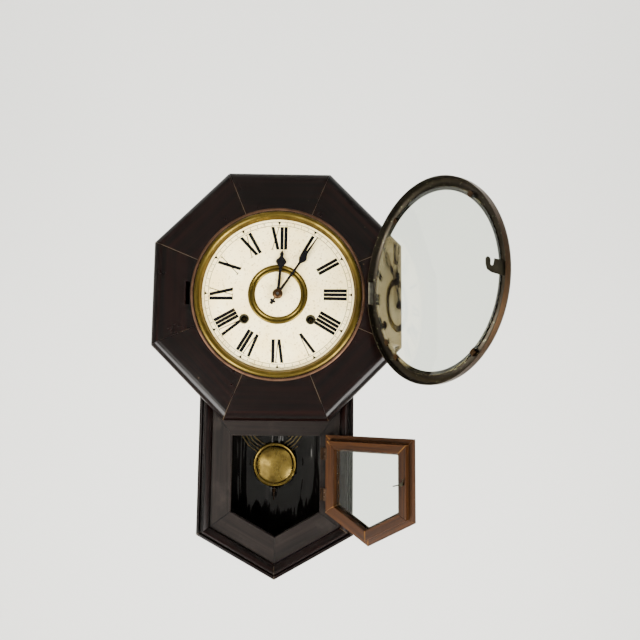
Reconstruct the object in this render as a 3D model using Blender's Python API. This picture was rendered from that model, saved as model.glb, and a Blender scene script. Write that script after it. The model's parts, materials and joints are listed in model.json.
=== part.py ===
"""Octagonal short-drop pendulum wall clock with strike, both doors open.

Frame: X to the right, the dial faces -Y, +Z up. The wall is the plane y = 0,
and the origin lies on it, straight behind the middle of the dial.
"""
from math import acos, atan2, cos, hypot, pi, radians, sin, sqrt, tan

import bmesh
import bpy
from mathutils import Matrix, Vector

MM = 0.001
GAP = 0.3 * MM                      # clearance between touching pieces

# Case
APOTHEM = 165 * MM                  # half the width of the octagon across its flats
OCT_WIDTH = 60.5 * MM               # rail width, from the outer flat to the rebate for the dial
OCT_INNER = 75 * MM                 # from the outer flat to the opening behind the dial
OCT_REBATE = -104.9 * MM            # floor of the rebate
OCT_FRONT = -112 * MM
OCT_BACK = -88 * MM
OCT_ROLL = 14 * MM                  # radius of the quarter-round outer edge
BACKBOARD = 8 * MM
CASE_HALF = 96 * MM                 # outside of the case's side boards
CASE_TOP = 130 * MM
BOARD = 10 * MM

# Drop
DROP_HALF = 102 * MM                # outside of the drop's mouldings
DROP_CORNER = -312.5 * MM           # where the sides turn in
V_SLOPE = 0.55                      # fall of the pointed bottom for each unit of width
PANEL_FRONT = -84 * MM
PANEL_BACK = -76 * MM
PANEL_TOP = -150 * MM
MOULDING_WIDTH = 17.6 * MM
OPENING_HALF = 58 * MM
OPENING_TOP = -185 * MM
OPENING_CORNER = -283 * MM

# Drop door, given closed
DOOR_ANGLE = radians(147)           # how far it stands open
DOOR_HALF = 62.6 * MM
DOOR_TOP = -182.8 * MM
DOOR_CORNER = -282.2 * MM
DOOR_LIP_BACK = -86.5 * MM
DOOR_FRONT = -91.5 * MM
DOOR_BODY_BACK = -78 * MM
DOOR_BODY_INSET = 7 * MM
DOOR_GLASS_INSET = 17.5 * MM
DOOR_GLASS_FRONT = -88 * MM
DOOR_HINGE = Vector((64.1 * MM, -87.3 * MM, 0))
DOOR_HINGE_HEIGHTS = {"upper": -207.5 * MM, "lower": -259.5 * MM}
DOOR_KNUCKLE = 1.5 * MM
HOOK_PIVOT = Vector((-50.8 * MM, -75 * MM, -236 * MM))

# Bezel, given closed
BEZEL_ANGLE = radians(119.4)         # how far it stands open
BEZEL_HINGE = Vector((120.5 * MM, -119 * MM, 0))
BEZEL_KNUCKLE = 2.2 * MM
LEAF_HALF = 14 * MM

# Dial and hands
DIAL_RADIUS = 103.6 * MM
DIAL_FRONT = -106 * MM
DIAL_THICK = 0.8 * MM
WINDING = Vector((43.5 * MM, 0, -33 * MM))
WINDING_HOLE = 5 * MM
MINUTE_TURN = radians(34.3)         # both hands stand at five past twelve and a bit
HOUR_TURN = radians(5)                # a little ahead of the minute hand, by the play in its fit
MINUTE_REACH = 91.5 * MM
HOUR_REACH = 59 * MM

# Movement
BACK_PLATE = -32 * MM               # rear face of the back plate
FRONT_PLATE = -70 * MM              # rear face of the front plate
PLATE = 1.6 * MM
PIVOT_TOP = 57 * MM                 # height of the pendulum's and the verge's axis
LEAN = radians(0.82)                # how far the pendulum stands off the plumb line
HAMMER_AT = (-56 * MM, -4 * MM)     # the hammer's arbor
TOOTH_TIP = 0.48                    # height of a tooth above the pitch circle, in modules
TOOTH_ROOT = 1.02                   # depth below it
TIP_SHARE = 0.095                   # half the width of a tooth's tip, as a share of the pitch

# Teeth and modules of the going train, each driving wheel with the pinion it turns
GREAT = (48, 1.02 * MM)
SECOND_PINION = 12
SECOND = (36, 1.02 * MM)
CENTRE_PINION = 12
CENTRE = (48, 0.8 * MM)
THIRD_PINION = 6
THIRD = (60, 0.6 * MM)
ESCAPE_PINION = 6
ESCAPE_TEETH = 42
CANNON = (12, 0.6 * MM)
MINUTE = (36, 0.6 * MM)
MINUTE_PINION = 10
HOUR = (40, 0.576 * MM)
SECOND_PHASE = 0.1                  # angle of one tooth of each wheel that the others follow
SECOND_PINION_PHASE = 0.3
THIRD_PHASE = 0.2
MINUTE_PINION_PHASE = 0.25

# Pendulum and gong
BOB_RADIUS = 31 * MM
BOB_DROP = 286 * MM
ROD_Y = -22 * MM
GONG_CENTRE = Vector((-8 * MM, -12 * MM, -169 * MM))
GONG_INNER = 31 * MM
GONG_OUTER = 50 * MM
GONG_TURNS = 4
GONG_WIRE = 1 * MM

MATERIALS = {
    "ebonised_wood": ((0.020, 0.013, 0.011), 0.35, 0.0),
    "bare_wood": ((0.090, 0.038, 0.018), 0.60, 0.0),
    "backboard_black": ((0.012, 0.012, 0.012), 0.25, 0.0),
    "dial_paper": ((0.780, 0.720, 0.580), 0.60, 0.0),
    "old_brass": ((0.330, 0.210, 0.075), 0.40, 1.0),
    "bob_brass": ((0.450, 0.310, 0.100), 0.28, 1.0),
    "blued_steel": ((0.010, 0.011, 0.014), 0.35, 1.0),
    "steel": ((0.420, 0.420, 0.410), 0.35, 1.0),
    "iron": ((0.060, 0.055, 0.050), 0.60, 1.0),
    "glass": ((0.900, 0.950, 0.930), 0.05, 0.0),
}


# ---------------------------------------------------------------- helpers

def material(name):
    """The named material, made the first time it is asked for."""
    if name in bpy.data.materials:
        return bpy.data.materials[name]
    colour, roughness, metallic = MATERIALS[name]
    made = bpy.data.materials.new(name)
    made.use_nodes = True
    shader = made.node_tree.nodes["Principled BSDF"]
    shader.inputs["Base Color"].default_value = (*colour, 1)
    shader.inputs["Roughness"].default_value = roughness
    shader.inputs["Metallic"].default_value = metallic
    return made


def piece(name, bm, finish=None, smooth=False):
    """Turn a bmesh into an object, with its faces pointing out."""
    bmesh.ops.remove_doubles(bm, verts=bm.verts, dist=0.001 * MM)
    bmesh.ops.recalc_face_normals(bm, faces=bm.faces)
    mesh = bpy.data.meshes.new(name)
    bm.to_mesh(mesh)
    bm.free()
    obj = bpy.data.objects.new(name, mesh)
    bpy.context.collection.objects.link(obj)
    if finish:
        mesh.materials.append(material(finish))
    if smooth:
        mesh.shade_smooth()
        mesh.set_sharp_from_angle(angle=radians(35))
    return obj


def tool(name, bm):
    """A body that only cuts or joins another."""
    obj = piece(name, bm)
    obj.hide_render = True
    obj.display_type = "WIRE"
    return obj


def combine(obj, operation, *tools):
    """Cut each tool from the object, or join it on."""
    for other in tools:
        step = obj.modifiers.new(other.name, "BOOLEAN")
        step.operation = operation
        step.object = other
        step.solver = "EXACT"
    return obj


def block(low, high):
    """A box between two corners."""
    bm = bmesh.new()
    bmesh.ops.create_cube(bm, size=1)
    low, high = Vector(low), Vector(high)
    size = high - low
    bmesh.ops.scale(bm, vec=size, verts=bm.verts)
    bmesh.ops.translate(bm, vec=(low + high) / 2, verts=bm.verts)
    return bm


def slab(outline, y_back, y_front):
    """An outline of (x, z) points, extruded from y_back to y_front."""
    bm = bmesh.new()
    face = bm.faces.new([bm.verts.new((x, y_back, z)) for x, z in outline])
    grown = bmesh.ops.extrude_face_region(bm, geom=[face])
    moved = [item for item in grown["geom"] if isinstance(item, bmesh.types.BMVert)]
    bmesh.ops.translate(bm, vec=(0, y_front - y_back, 0), verts=moved)
    return bm


def framed_slab(outer, inner, y_back, y_front):
    """A flat frame between two outlines with as many points as each other."""
    bm = bmesh.new()
    count = len(outer)
    rings = []
    for y in (y_back, y_front):
        for outline in (outer, inner):
            rings.append([bm.verts.new((x, y, z)) for x, z in outline])
    back_outer, back_inner, front_outer, front_inner = rings
    for a, b in ((back_outer, back_inner), (back_inner, front_inner),
                 (front_inner, front_outer), (front_outer, back_outer)):
        for i in range(count):
            j = (i + 1) % count
            bm.faces.new((a[i], a[j], b[j], b[i]))
    return bm


def turned(profile, steps=32, centre=(0, 0), closed=False):
    """Turn a profile of (radius, y) points about the Y axis through (x, z)."""
    bm = bmesh.new()
    verts = [bm.verts.new((centre[0] + r, y, centre[1])) for r, y in profile]
    edges = [bm.edges.new(pair) for pair in zip(verts, verts[1:])]
    if closed:
        edges.append(bm.edges.new((verts[-1], verts[0])))
    bmesh.ops.spin(bm, geom=verts + edges, cent=(centre[0], 0, centre[1]), axis=(0, 1, 0),
                   angle=2 * pi, steps=steps, use_merge=True, use_duplicate=False)
    return bm


def drum(radius, y_back, y_front, centre=(0, 0), steps=16):
    """A plain cylinder along Y."""
    return turned([(0, y_back), (radius, y_back), (radius, y_front), (0, y_front)], steps, centre)


def post(radius, low, high, steps=12):
    """A plain cylinder between two points."""
    low, high = Vector(low), Vector(high)
    bm = bmesh.new()
    turn = (high - low).to_track_quat("Z", "Y").to_matrix().to_4x4()
    bmesh.ops.create_cone(bm, cap_ends=True, segments=steps, radius1=radius, radius2=radius,
                          depth=(high - low).length,
                          matrix=Matrix.Translation((low + high) / 2) @ turn)
    return bm


def spiral_tube(centre, inner, outer, turns, start, section, per_turn):
    """A spiral in the XZ plane, with a small closed section of (radial, y) points."""
    bm = bmesh.new()
    count = int(turns * per_turn)
    rings = []
    for i in range(count + 1):
        angle = start + 2 * pi * turns * i / count
        radius = inner + (outer - inner) * i / count
        rings.append([bm.verts.new((centre[0] + (radius + u) * cos(angle), centre[1] + y,
                                    centre[2] + (radius + u) * sin(angle)))
                      for u, y in section])
    size = len(section)
    for a, b in zip(rings, rings[1:]):
        for k in range(size):
            m = (k + 1) % size
            bm.faces.new((a[k], a[m], b[m], b[k]))
    bm.faces.new(rings[0])
    bm.faces.new(rings[-1])
    return bm


def move_origin(obj, point):
    """Put the object's origin on its axis without moving its shape."""
    obj.data.transform(Matrix.Translation(-Vector(point)))
    obj.location = point
    return obj


def pivot(name, point, axis="Z", angle=0.0):
    """An empty on an axis. What hang() puts on it turns with it by the angle."""
    empty = bpy.data.objects.new(name, None)
    bpy.context.collection.objects.link(empty)
    empty.location = point
    setattr(empty.rotation_euler, axis.lower(), angle)
    return empty


def hang(empty, *objects):
    """Parent objects that are modelled in place with the empty unturned."""
    for obj in objects:
        obj.parent = empty
        obj.matrix_parent_inverse = Matrix.Translation(-empty.location)


def pointed(half, top, corner, gap=0.0):
    """The five-sided outline with a pointed bottom, drawn in by gap on every side."""
    lean = hypot(1, V_SLOPE)
    half = half - gap
    tip = corner - V_SLOPE * (half + gap) + gap * lean
    return [(-half, top - gap), (half, top - gap), (half, tip + V_SLOPE * half),
            (0, tip), (-half, tip + V_SLOPE * half)]


# ---------------------------------------------------------------- case

def bottom_at(inset, x):
    """Height of the drop's pointed bottom, drawn in by inset, at x to either side."""
    return DROP_CORNER - V_SLOPE * (DROP_HALF - x) + inset * hypot(1, V_SLOPE)


def make_backboard():
    inset = DROP_HALF - CASE_HALF
    outline = pointed(DROP_HALF, CASE_TOP + inset, DROP_CORNER, inset)
    board = piece("backboard", slab(outline, 0, -BACKBOARD), "backboard_black")
    recess = tool("cut_hanger_recess", block((-18 * MM, -2 * MM, 100 * MM),
                                             (18 * MM, 5 * MM, 126 * MM)))
    nail = tool("cut_nail_hole", drum(7 * MM, 5 * MM, -12 * MM, (0, 113 * MM)))
    return combine(board, "DIFFERENCE", recess, nail)


def make_hanger():
    plate = piece("hanger_plate", block((-17.5 * MM, -1.7 * MM, 100.5 * MM),
                                        (17.5 * MM, -0.2 * MM, 125.5 * MM)), "steel")
    hole = tool("cut_hanger_hole", drum(4 * MM, 3 * MM, -6 * MM, (0, 113 * MM)))
    return combine(plate, "DIFFERENCE", hole)


def make_case_boards():
    """Top board, the two long sides, and the two boards of the pointed bottom."""
    back = -BACKBOARD - GAP
    high_front = OCT_BACK + GAP
    low_front = PANEL_BACK + GAP
    step = -132 * MM
    inside = CASE_HALF - BOARD
    outer_inset = DROP_HALF - CASE_HALF
    inner_inset = DROP_HALF - inside
    piece("case_top_board", block((-inside + GAP, high_front, CASE_TOP - BOARD),
                                  (inside - GAP, back, CASE_TOP)), "ebonised_wood")
    for side, name in ((-1, "left"), (1, "right")):
        long_side = [(CASE_HALF, CASE_TOP), (CASE_HALF, bottom_at(outer_inset, CASE_HALF)),
                     (inside, bottom_at(inner_inset, inside)), (inside, CASE_TOP)]
        board = piece(f"case_{name}_board", slab([(side * x, z) for x, z in long_side],
                                                 back, low_front), "ebonised_wood")
        ends = sorted((side * inside, side * CASE_HALF))
        upper = tool(f"join_case_{name}", block((ends[0], high_front, step),
                                                (ends[1], low_front + 20 * MM, CASE_TOP)))
        combine(board, "UNION", upper)
        near = GAP / 2
        low = [(x, bottom_at(inset, x)) for x, inset in
               ((CASE_HALF - GAP, outer_inset), (near, outer_inset),
                (near, inner_inset), (inside - GAP, inner_inset))]
        piece(f"case_lower_{name}_board", slab([(side * x, z) for x, z in low], back, low_front),
              "ebonised_wood")


def octagon_profile():
    """Section of a rail: (distance in from the outer flat, y)."""
    roll = [(OCT_ROLL * (1 - cos(t)), OCT_FRONT + OCT_ROLL * (1 - sin(t)))
            for t in [pi / 2 * i / 5 for i in range(6)]]
    return [(0, OCT_BACK)] + roll + [(OCT_WIDTH, OCT_FRONT), (OCT_WIDTH, OCT_REBATE),
                                     (OCT_INNER, OCT_REBATE), (OCT_INNER, OCT_BACK)]


def make_octagon():
    """Eight mitred rails; the one at nine o'clock has the slot for the bezel's hook."""
    half = tan(pi / 8)
    for index in range(8):
        turn = Matrix.Rotation(-index * pi / 4, 4, "Y")
        bm = bmesh.new()
        ends = []
        for side in (-1, 1):
            ends.append([bm.verts.new(turn @ Vector((side * ((APOTHEM - u) * half - GAP / 2), y,
                                                     APOTHEM - u)))
                         for u, y in octagon_profile()])
        count = len(ends[0])
        for k in range(count):
            m = (k + 1) % count
            bm.faces.new((ends[0][k], ends[0][m], ends[1][m], ends[1][k]))
        bm.faces.new(ends[0])
        bm.faces.new(ends[1])
        rail = piece(f"octagon_rail_{index + 1}", bm, "ebonised_wood", smooth=True)
        if index == 2:
            slot = tool("cut_hook_slot", block((-119.6 * MM, -130 * MM, -15 * MM),
                                               (-114.6 * MM, -60 * MM, 15 * MM)))
            combine(rail, "DIFFERENCE", slot)


def make_drop_frame():
    """The flat frame around the drop's opening."""
    edge = MOULDING_WIDTH + GAP
    outer = pointed(DROP_HALF, 0, DROP_CORNER, edge)
    outer[0] = (outer[0][0], PANEL_TOP)
    outer[1] = (outer[1][0], PANEL_TOP)
    inner = pointed(OPENING_HALF, OPENING_TOP, OPENING_CORNER)
    piece("drop_front_frame", framed_slab(outer, inner, PANEL_BACK, PANEL_FRONT), "ebonised_wood")


def make_drop_mouldings():
    """Four stepped mouldings around the drop, mitred, the long ones cut to the octagon."""
    lip = 5.3 * MM
    section = [(0, -60 * MM), (0, -82 * MM), (1.5 * MM, -84.5 * MM), (4.2 * MM, -85 * MM),
               (4.8 * MM, -81.5 * MM), (7.0 * MM, -81.5 * MM), (7.6 * MM, -88 * MM),
               (9.2 * MM, -92 * MM), (11.2 * MM, -92.2 * MM), (MOULDING_WIDTH, -86.5 * MM),
               (MOULDING_WIDTH, PANEL_BACK), (lip, PANEL_BACK), (lip, -60 * MM)]
    diagonal = -(APOTHEM * sqrt(2)) + DROP_HALF - 1.5 * GAP
    for side, name in ((-1, "left"), (1, "right")):
        for part in ("side", "lower"):
            bm = bmesh.new()
            ends = [[], []]
            for u, y in section:
                x = DROP_HALF - u
                low = bottom_at(u, x)
                if part == "side":
                    spots = ((x, diagonal - u), (x, low + GAP / 2))
                else:
                    spots = ((x, low - GAP / 2), (GAP / 2, bottom_at(u, GAP / 2)))
                for end, spot in zip(ends, spots):
                    end.append(bm.verts.new((side * spot[0], y, spot[1])))
            count = len(section)
            for k in range(count):
                m = (k + 1) % count
                bm.faces.new((ends[0][k], ends[0][m], ends[1][m], ends[1][k]))
            bm.faces.new(ends[0])
            bm.faces.new(ends[1])
            piece(f"drop_moulding_{name}_{part}", bm, "ebonised_wood")


# ---------------------------------------------------------------- dial and hands

def make_dial():
    plate = piece("dial_plate", drum(DIAL_RADIUS, DIAL_FRONT + DIAL_THICK, DIAL_FRONT, steps=64),
                  "dial_paper")
    holes = [tool("cut_dial_centre", drum(4 * MM, -90 * MM, -120 * MM))]
    for side, name in ((1, "time"), (-1, "strike")):
        centre = (side * WINDING.x, WINDING.z)
        holes.append(tool(f"cut_dial_{name}", drum(WINDING_HOLE + 0.6 * MM, -90 * MM, -120 * MM,
                                                   centre)))
        ring = [(WINDING_HOLE - 0.9 * MM, DIAL_FRONT + 2 * MM),
                (WINDING_HOLE - 0.9 * MM, DIAL_FRONT - 0.9 * MM),
                (WINDING_HOLE + 0.2 * MM, DIAL_FRONT - 1.3 * MM),
                (WINDING_HOLE + 1.6 * MM, DIAL_FRONT - 0.3 * MM),
                (WINDING_HOLE + 0.2 * MM, DIAL_FRONT - 0.3 * MM),
                (WINDING_HOLE + 0.2 * MM, DIAL_FRONT + 2 * MM)]
        piece(f"winding_grommet_{name}", turned(ring, 24, centre, closed=True), "old_brass",
              smooth=True)
    combine(plate, "DIFFERENCE", *holes)


def make_dial_surround():
    """Brass ring that covers the dial's edge: a low outer flange and a rounded inner bead."""
    ring = [(104.2 * MM, -106 * MM), (104.2 * MM, OCT_FRONT - GAP), (114.3 * MM, OCT_FRONT - GAP),
            (114.3 * MM, -113.3 * MM), (110.8 * MM, -113.4 * MM), (110.2 * MM, -114.6 * MM),
            (107.5 * MM, -115.6 * MM), (104 * MM, -114.8 * MM), (101.4 * MM, -111.5 * MM),
            (100 * MM, DIAL_FRONT - GAP), (101 * MM, DIAL_FRONT - GAP),
            (103 * MM, DIAL_FRONT - GAP)]
    piece("dial_surround", turned(ring, 48, closed=True), "old_brass", smooth=True)


def make_dial_centre_ring():
    """Brass ring with two raised beads around the middle of the dial."""
    bead = 1.7 * MM
    base = DIAL_FRONT - GAP
    ring = [(30.6 * MM, base)]
    for middle in (32.6 * MM, 36.4 * MM):
        ring += [(middle - bead * cos(t), base - 0.5 * MM - 0.9 * MM * sin(t))
                 for t in [pi * i / 4 for i in range(5)]]
    ring.append((38.5 * MM, base))
    piece("dial_centre_ring", turned(ring, 32, closed=True), "old_brass", smooth=True)


def hand_outline(reach, tail, boss, root, waist, diamond_at, diamond_half, diamond_long):
    """Right-hand side of a hand that points up, from its tail to its tip."""
    return [(waist, -tail), (root, -boss), (root, boss), (waist * 1.25, boss * 2.2),
            (waist, diamond_at - diamond_long), (diamond_half, diamond_at),
            (waist * 0.8, diamond_at + diamond_long), (waist * 0.35, reach)]


def make_hand(name, right, turn, y_back, y_front, hole, boss):
    """A flat steel hand, with a round boss and a hole for its arbor."""
    outline = right + [(-x, z) for x, z in reversed(right)]
    turned_points = [(x * cos(turn) + z * sin(turn), z * cos(turn) - x * sin(turn))
                     for x, z in outline]
    hand = piece(name, slab(turned_points, y_back, y_front), "blued_steel")
    combine(hand, "UNION", tool(f"join_{name}", drum(boss, y_back, y_front, steps=20)))
    combine(hand, "DIFFERENCE", tool(f"cut_{name}", drum(hole, y_back + 5 * MM, y_front - 5 * MM,
                                                         steps=20)))


def make_hands():
    hour = hand_outline(HOUR_REACH, 0.5 * MM, 3 * MM, 3.6 * MM, 2.6 * MM, 40 * MM, 6 * MM, 6 * MM)
    minute = hand_outline(MINUTE_REACH, 14.5 * MM, 3 * MM, 2.6 * MM, 2.2 * MM, 55 * MM, 6.5 * MM,
                          7 * MM)
    make_hand("hour_hand", hour, HOUR_TURN, -108.6 * MM, -109.4 * MM, 3.3 * MM, 6.2 * MM)
    make_hand("minute_hand", minute, MINUTE_TURN, -111.4 * MM, -112.2 * MM, 1.9 * MM, 5 * MM)
    nut = [(1.9 * MM, -112.5 * MM), (6.8 * MM, -112.5 * MM), (6.8 * MM, -113.3 * MM),
           (5.6 * MM, -114.6 * MM), (2.6 * MM, -115.6 * MM), (1.9 * MM, -115.6 * MM)]
    piece("hand_nut", turned(nut, 24, closed=True), "old_brass", smooth=True)


# ---------------------------------------------------------------- bezel

def make_bezel():
    """Sheet-brass ring, its glass, hinge leaf and hook, made closed and then swung open."""
    outside = [(118, -112.4), (118, -118.5), (116.6, -122.5), (111.5, -124.6),
               (106.5, -123.2), (102.7, -120.4)]
    inside = [(103.3, -120.1), (106.9, -122.1), (111.5, -123.4), (115.8, -121.6),
              (117, -118.3), (117, -112.4)]
    section = [(r * MM, y * MM) for r, y in outside + inside]
    ring = piece("bezel_ring", turned(section, 56, closed=True), "old_brass", smooth=True)
    notch = tool("cut_hinge_notch", block((113.5 * MM, -120.2 * MM, -LEAF_HALF - GAP),
                                          (125 * MM, -110 * MM, LEAF_HALF + GAP)))
    combine(ring, "DIFFERENCE", notch)
    glass = piece("bezel_glass", drum(107 * MM, -117.8 * MM, -119.8 * MM, steps=64), "glass")

    leaf = piece("bezel_hinge_door_leaf", block((115 * MM, -119.9 * MM, -LEAF_HALF),
                                                (117.6 * MM, -113.9 * MM, LEAF_HALF)), "old_brass")
    for index, ends in enumerate(((-LEAF_HALF, -5 * MM), (5 * MM, LEAF_HALF))):
        web = tool(f"join_bezel_web_{index}", block((117.2 * MM, -119.7 * MM, ends[0] + 0.1 * MM),
                                                    (120.3 * MM, -118.3 * MM, ends[1] - 0.1 * MM)))
        knuckle = tool(f"join_bezel_knuckle_{index}",
                       post(BEZEL_KNUCKLE, BEZEL_HINGE + Vector((0, 0, ends[0])),
                            BEZEL_HINGE + Vector((0, 0, ends[1]))))
        combine(leaf, "UNION", web, knuckle)

    x_out, x_in = -115.95 * MM, -114.8 * MM
    hook_mm = [(-12.3, -117), (-12.3, -112.4), (-10.2, -95.7), (-7.9, -90.4), (-3.3, -88.6),
               (3, -88.6), (4.9, -91), (4.2, -93.5), (2, -94.8), (-2.5, -94.4), (-3.8, -96.3),
               (-2.6, -98.6), (0.5, -99.8), (3.8, -100.2), (3.2, -112.4), (3.2, -117)]
    hook_side = [(z * MM, y * MM) for z, y in hook_mm]
    bm = bmesh.new()
    face = bm.faces.new([bm.verts.new((x_out, y, z)) for z, y in hook_side])
    grown = bmesh.ops.extrude_face_region(bm, geom=[face])
    moved = [item for item in grown["geom"] if isinstance(item, bmesh.types.BMVert)]
    bmesh.ops.translate(bm, vec=(x_in - x_out, 0, 0), verts=moved)
    hook = piece("bezel_latch_hook", bm, "old_brass")

    swing = pivot("bezel_axis", BEZEL_HINGE, "Z", BEZEL_ANGLE)
    hang(swing, ring, notch, glass, leaf, hook)
    hang(swing, *[step.object for step in leaf.modifiers])


def make_bezel_case_leaf():
    leaf = piece("bezel_hinge_case_leaf", block((119.2 * MM, -113.6 * MM, -LEAF_HALF),
                                                (129 * MM, OCT_FRONT - GAP, LEAF_HALF)),
                 "old_brass")
    web = tool("join_case_web", block((119.8 * MM, -119 * MM, -4.6 * MM),
                                      (121.2 * MM, -113.2 * MM, 4.6 * MM)))
    knuckle = tool("join_case_knuckle", post(BEZEL_KNUCKLE, BEZEL_HINGE - Vector((0, 0, 4.7 * MM)),
                                             BEZEL_HINGE + Vector((0, 0, 4.7 * MM))))
    combine(leaf, "UNION", web, knuckle)


# ---------------------------------------------------------------- drop door

def make_drop_door():
    """Rebated frame with an overlapping lip, its glass, hook and hinge leaves."""
    lip = pointed(DOOR_HALF, DOOR_TOP, DOOR_CORNER)
    body = pointed(DOOR_HALF, DOOR_TOP, DOOR_CORNER, DOOR_BODY_INSET)
    clear = pointed(DOOR_HALF, DOOR_TOP, DOOR_CORNER, DOOR_GLASS_INSET)
    seat = pointed(DOOR_HALF, DOOR_TOP, DOOR_CORNER, DOOR_GLASS_INSET + 2.5 * MM)
    layers = [(lip, DOOR_FRONT), (lip, DOOR_LIP_BACK), (body, DOOR_LIP_BACK),
              (body, DOOR_BODY_BACK), (clear, DOOR_BODY_BACK), (clear, DOOR_GLASS_FRONT),
              (seat, DOOR_GLASS_FRONT), (seat, DOOR_FRONT)]
    bm = bmesh.new()
    rings = [[bm.verts.new((x, y, z)) for x, z in outline] for outline, y in layers]
    for a, b in zip(rings, rings[1:] + rings[:1]):
        for i in range(5):
            j = (i + 1) % 5
            bm.faces.new((a[i], a[j], b[j], b[i]))
    frame = piece("drop_door_frame", bm, "bare_wood")
    pane = pointed(DOOR_HALF, DOOR_TOP, DOOR_CORNER, DOOR_GLASS_INSET + 0.4 * MM)
    glass = piece("drop_door_glass", slab(pane, DOOR_GLASS_FRONT + GAP + 2 * MM,
                                          DOOR_GLASS_FRONT + GAP), "glass")
    swing = pivot("drop_door_axis", DOOR_HINGE, "Z", DOOR_ANGLE)
    hang(swing, frame, glass)
    for name, height in DOOR_HINGE_HEIGHTS.items():
        hang(swing, *make_door_leaf(name, height))
    hook = make_door_hook()
    hang(swing, hook, *[step.object for step in hook.modifiers])


def knuckle_post(height, low, high):
    spot = Vector((DOOR_HINGE.x, DOOR_HINGE.y, height))
    return post(DOOR_KNUCKLE, spot + Vector((0, 0, low)), spot + Vector((0, 0, high)))


def make_door_leaf(name, height):
    """The leaf on the back of the door's lip, with the outer knuckle."""
    leaf = piece(f"drop_hinge_{name}_door_leaf",
                 block((56.7 * MM, DOOR_LIP_BACK + GAP, height - 7.7 * MM),
                       (64.3 * MM, DOOR_LIP_BACK + GAP + 0.8 * MM, height + 7.7 * MM)), "old_brass")
    relief = tool(f"cut_leaf_{name}", block((62.4 * MM, -90 * MM, height - 2.8 * MM),
                                            (70 * MM, -80 * MM, height + 2.8 * MM)))
    upper = tool(f"join_{name}_upper_knuckle", knuckle_post(height, 2.8 * MM, 7.6 * MM))
    lower = tool(f"join_{name}_lower_knuckle", knuckle_post(height, -7.6 * MM, -2.8 * MM))
    combine(leaf, "DIFFERENCE", relief)
    combine(leaf, "UNION", upper, lower)
    return leaf, relief, upper, lower


def make_case_leaves():
    """The leaves on the drop's flat frame, each with the middle knuckle."""
    for name, height in DOOR_HINGE_HEIGHTS.items():
        leaf = piece(f"drop_hinge_{name}_case_leaf",
                     block((58.4 * MM, PANEL_FRONT - GAP - 0.7 * MM, height - 7.7 * MM),
                           (65.3 * MM, PANEL_FRONT - GAP, height + 7.7 * MM)), "old_brass")
        web = tool(f"join_{name}_web", block((63.6 * MM, -87.3 * MM, height - 2.3 * MM),
                                             (64.9 * MM, -84.6 * MM, height + 2.3 * MM)))
        middle = tool(f"join_{name}_middle_knuckle", knuckle_post(height, -2.4 * MM, 2.4 * MM))
        combine(leaf, "UNION", web, middle)


def make_door_hook():
    """A wire hook on a screw at the free side of the door; it hangs idle while the door is open."""
    x, y, z = HOOK_PIVOT
    hook = piece("drop_door_hook", drum(2.2 * MM, DOOR_BODY_BACK + GAP, y + 1 * MM, (x, z), 12),
                 "steel")
    arm = tool("join_hook_arm", post(0.7 * MM, (x + 0.8 * MM, y, z), (x + 11 * MM, y, z - 3 * MM), 8))
    tail = tool("join_hook_tail", post(0.7 * MM, (x - 0.8 * MM, y, z + 0.5 * MM),
                                       (x - 2.6 * MM, y, z + 6.5 * MM), 8))
    return combine(hook, "UNION", arm, tail)


# ---------------------------------------------------------------- movement

def gear_outline(teeth, module, centre, phase):
    """Teeth with flat tips and pointed roots; phase is the angle of one tooth."""
    pitch = 2 * pi / teeth
    tip = module * (teeth / 2 + TOOTH_TIP)
    root = module * (teeth / 2 - TOOTH_ROOT)
    points = []
    for k in range(teeth):
        middle = phase + k * pitch
        for radius, offset in ((tip, -TIP_SHARE), (tip, TIP_SHARE), (root, 0.5)):
            angle = middle + offset * pitch
            points.append((centre[0] + radius * cos(angle), centre[1] + radius * sin(angle)))
    return points


def gear(teeth, module, centre, phase, y_back, thick):
    return slab(gear_outline(teeth, module, centre, phase), y_back, y_back - thick)


def meshed_phase(teeth, phase, centre, other_teeth, other_centre):
    """The tooth angle that lets the other gear's teeth fall into this one's gaps."""
    line = atan2(other_centre[1] - centre[1], other_centre[0] - centre[0])
    share = (line - phase) * teeth / (2 * pi)
    return line + pi - (0.5 - share) * 2 * pi / other_teeth


def third_point(first, first_reach, second, second_reach, side):
    """The point at the two given distances from two others, on the given side of their line."""
    dx, dz = second[0] - first[0], second[1] - first[1]
    apart = hypot(dx, dz)
    turn = side * acos((first_reach ** 2 + apart ** 2 - second_reach ** 2)
                       / (2 * first_reach * apart))
    line = atan2(dz, dx) + turn
    return first[0] + first_reach * cos(line), first[1] + first_reach * sin(line)


def reach(pair, pinion):
    """Distance between a wheel and its pinion."""
    return pair[1] * (pair[0] + pinion) / 2


CENTRE_AT = (0.0, 0.0)
GREAT_AT = (WINDING.x, WINDING.z)
SECOND_AT = third_point(GREAT_AT, reach(GREAT, SECOND_PINION), CENTRE_AT,
                        reach(SECOND, CENTRE_PINION), 1)
ESCAPE_AT = (0.0, 34.5 * MM)
THIRD_AT = third_point(CENTRE_AT, reach(CENTRE, THIRD_PINION), ESCAPE_AT,
                       reach(THIRD, ESCAPE_PINION), -1)
MINUTE_AT = (-reach(CANNON, MINUTE[0]) / sqrt(2), -reach(CANNON, MINUTE[0]) / sqrt(2))

REAR_END = BACK_PLATE - PLATE - GAP       # where an arbor stops short of the back plate
FRONT_END = FRONT_PLATE + GAP             # and of the front plate


def with_arbor(name, finish, base, parts, centre):
    """Join an arbor, wheels and pinions into one solid whose origin is its axis."""
    obj = piece(name, base, finish, smooth=True)
    tools = [tool(f"join_{name}_{index}", bm) for index, bm in enumerate(parts)]
    combine(obj, "UNION", *tools)
    move_origin(obj, (centre[0], 0, centre[1]))
    return obj


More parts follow.
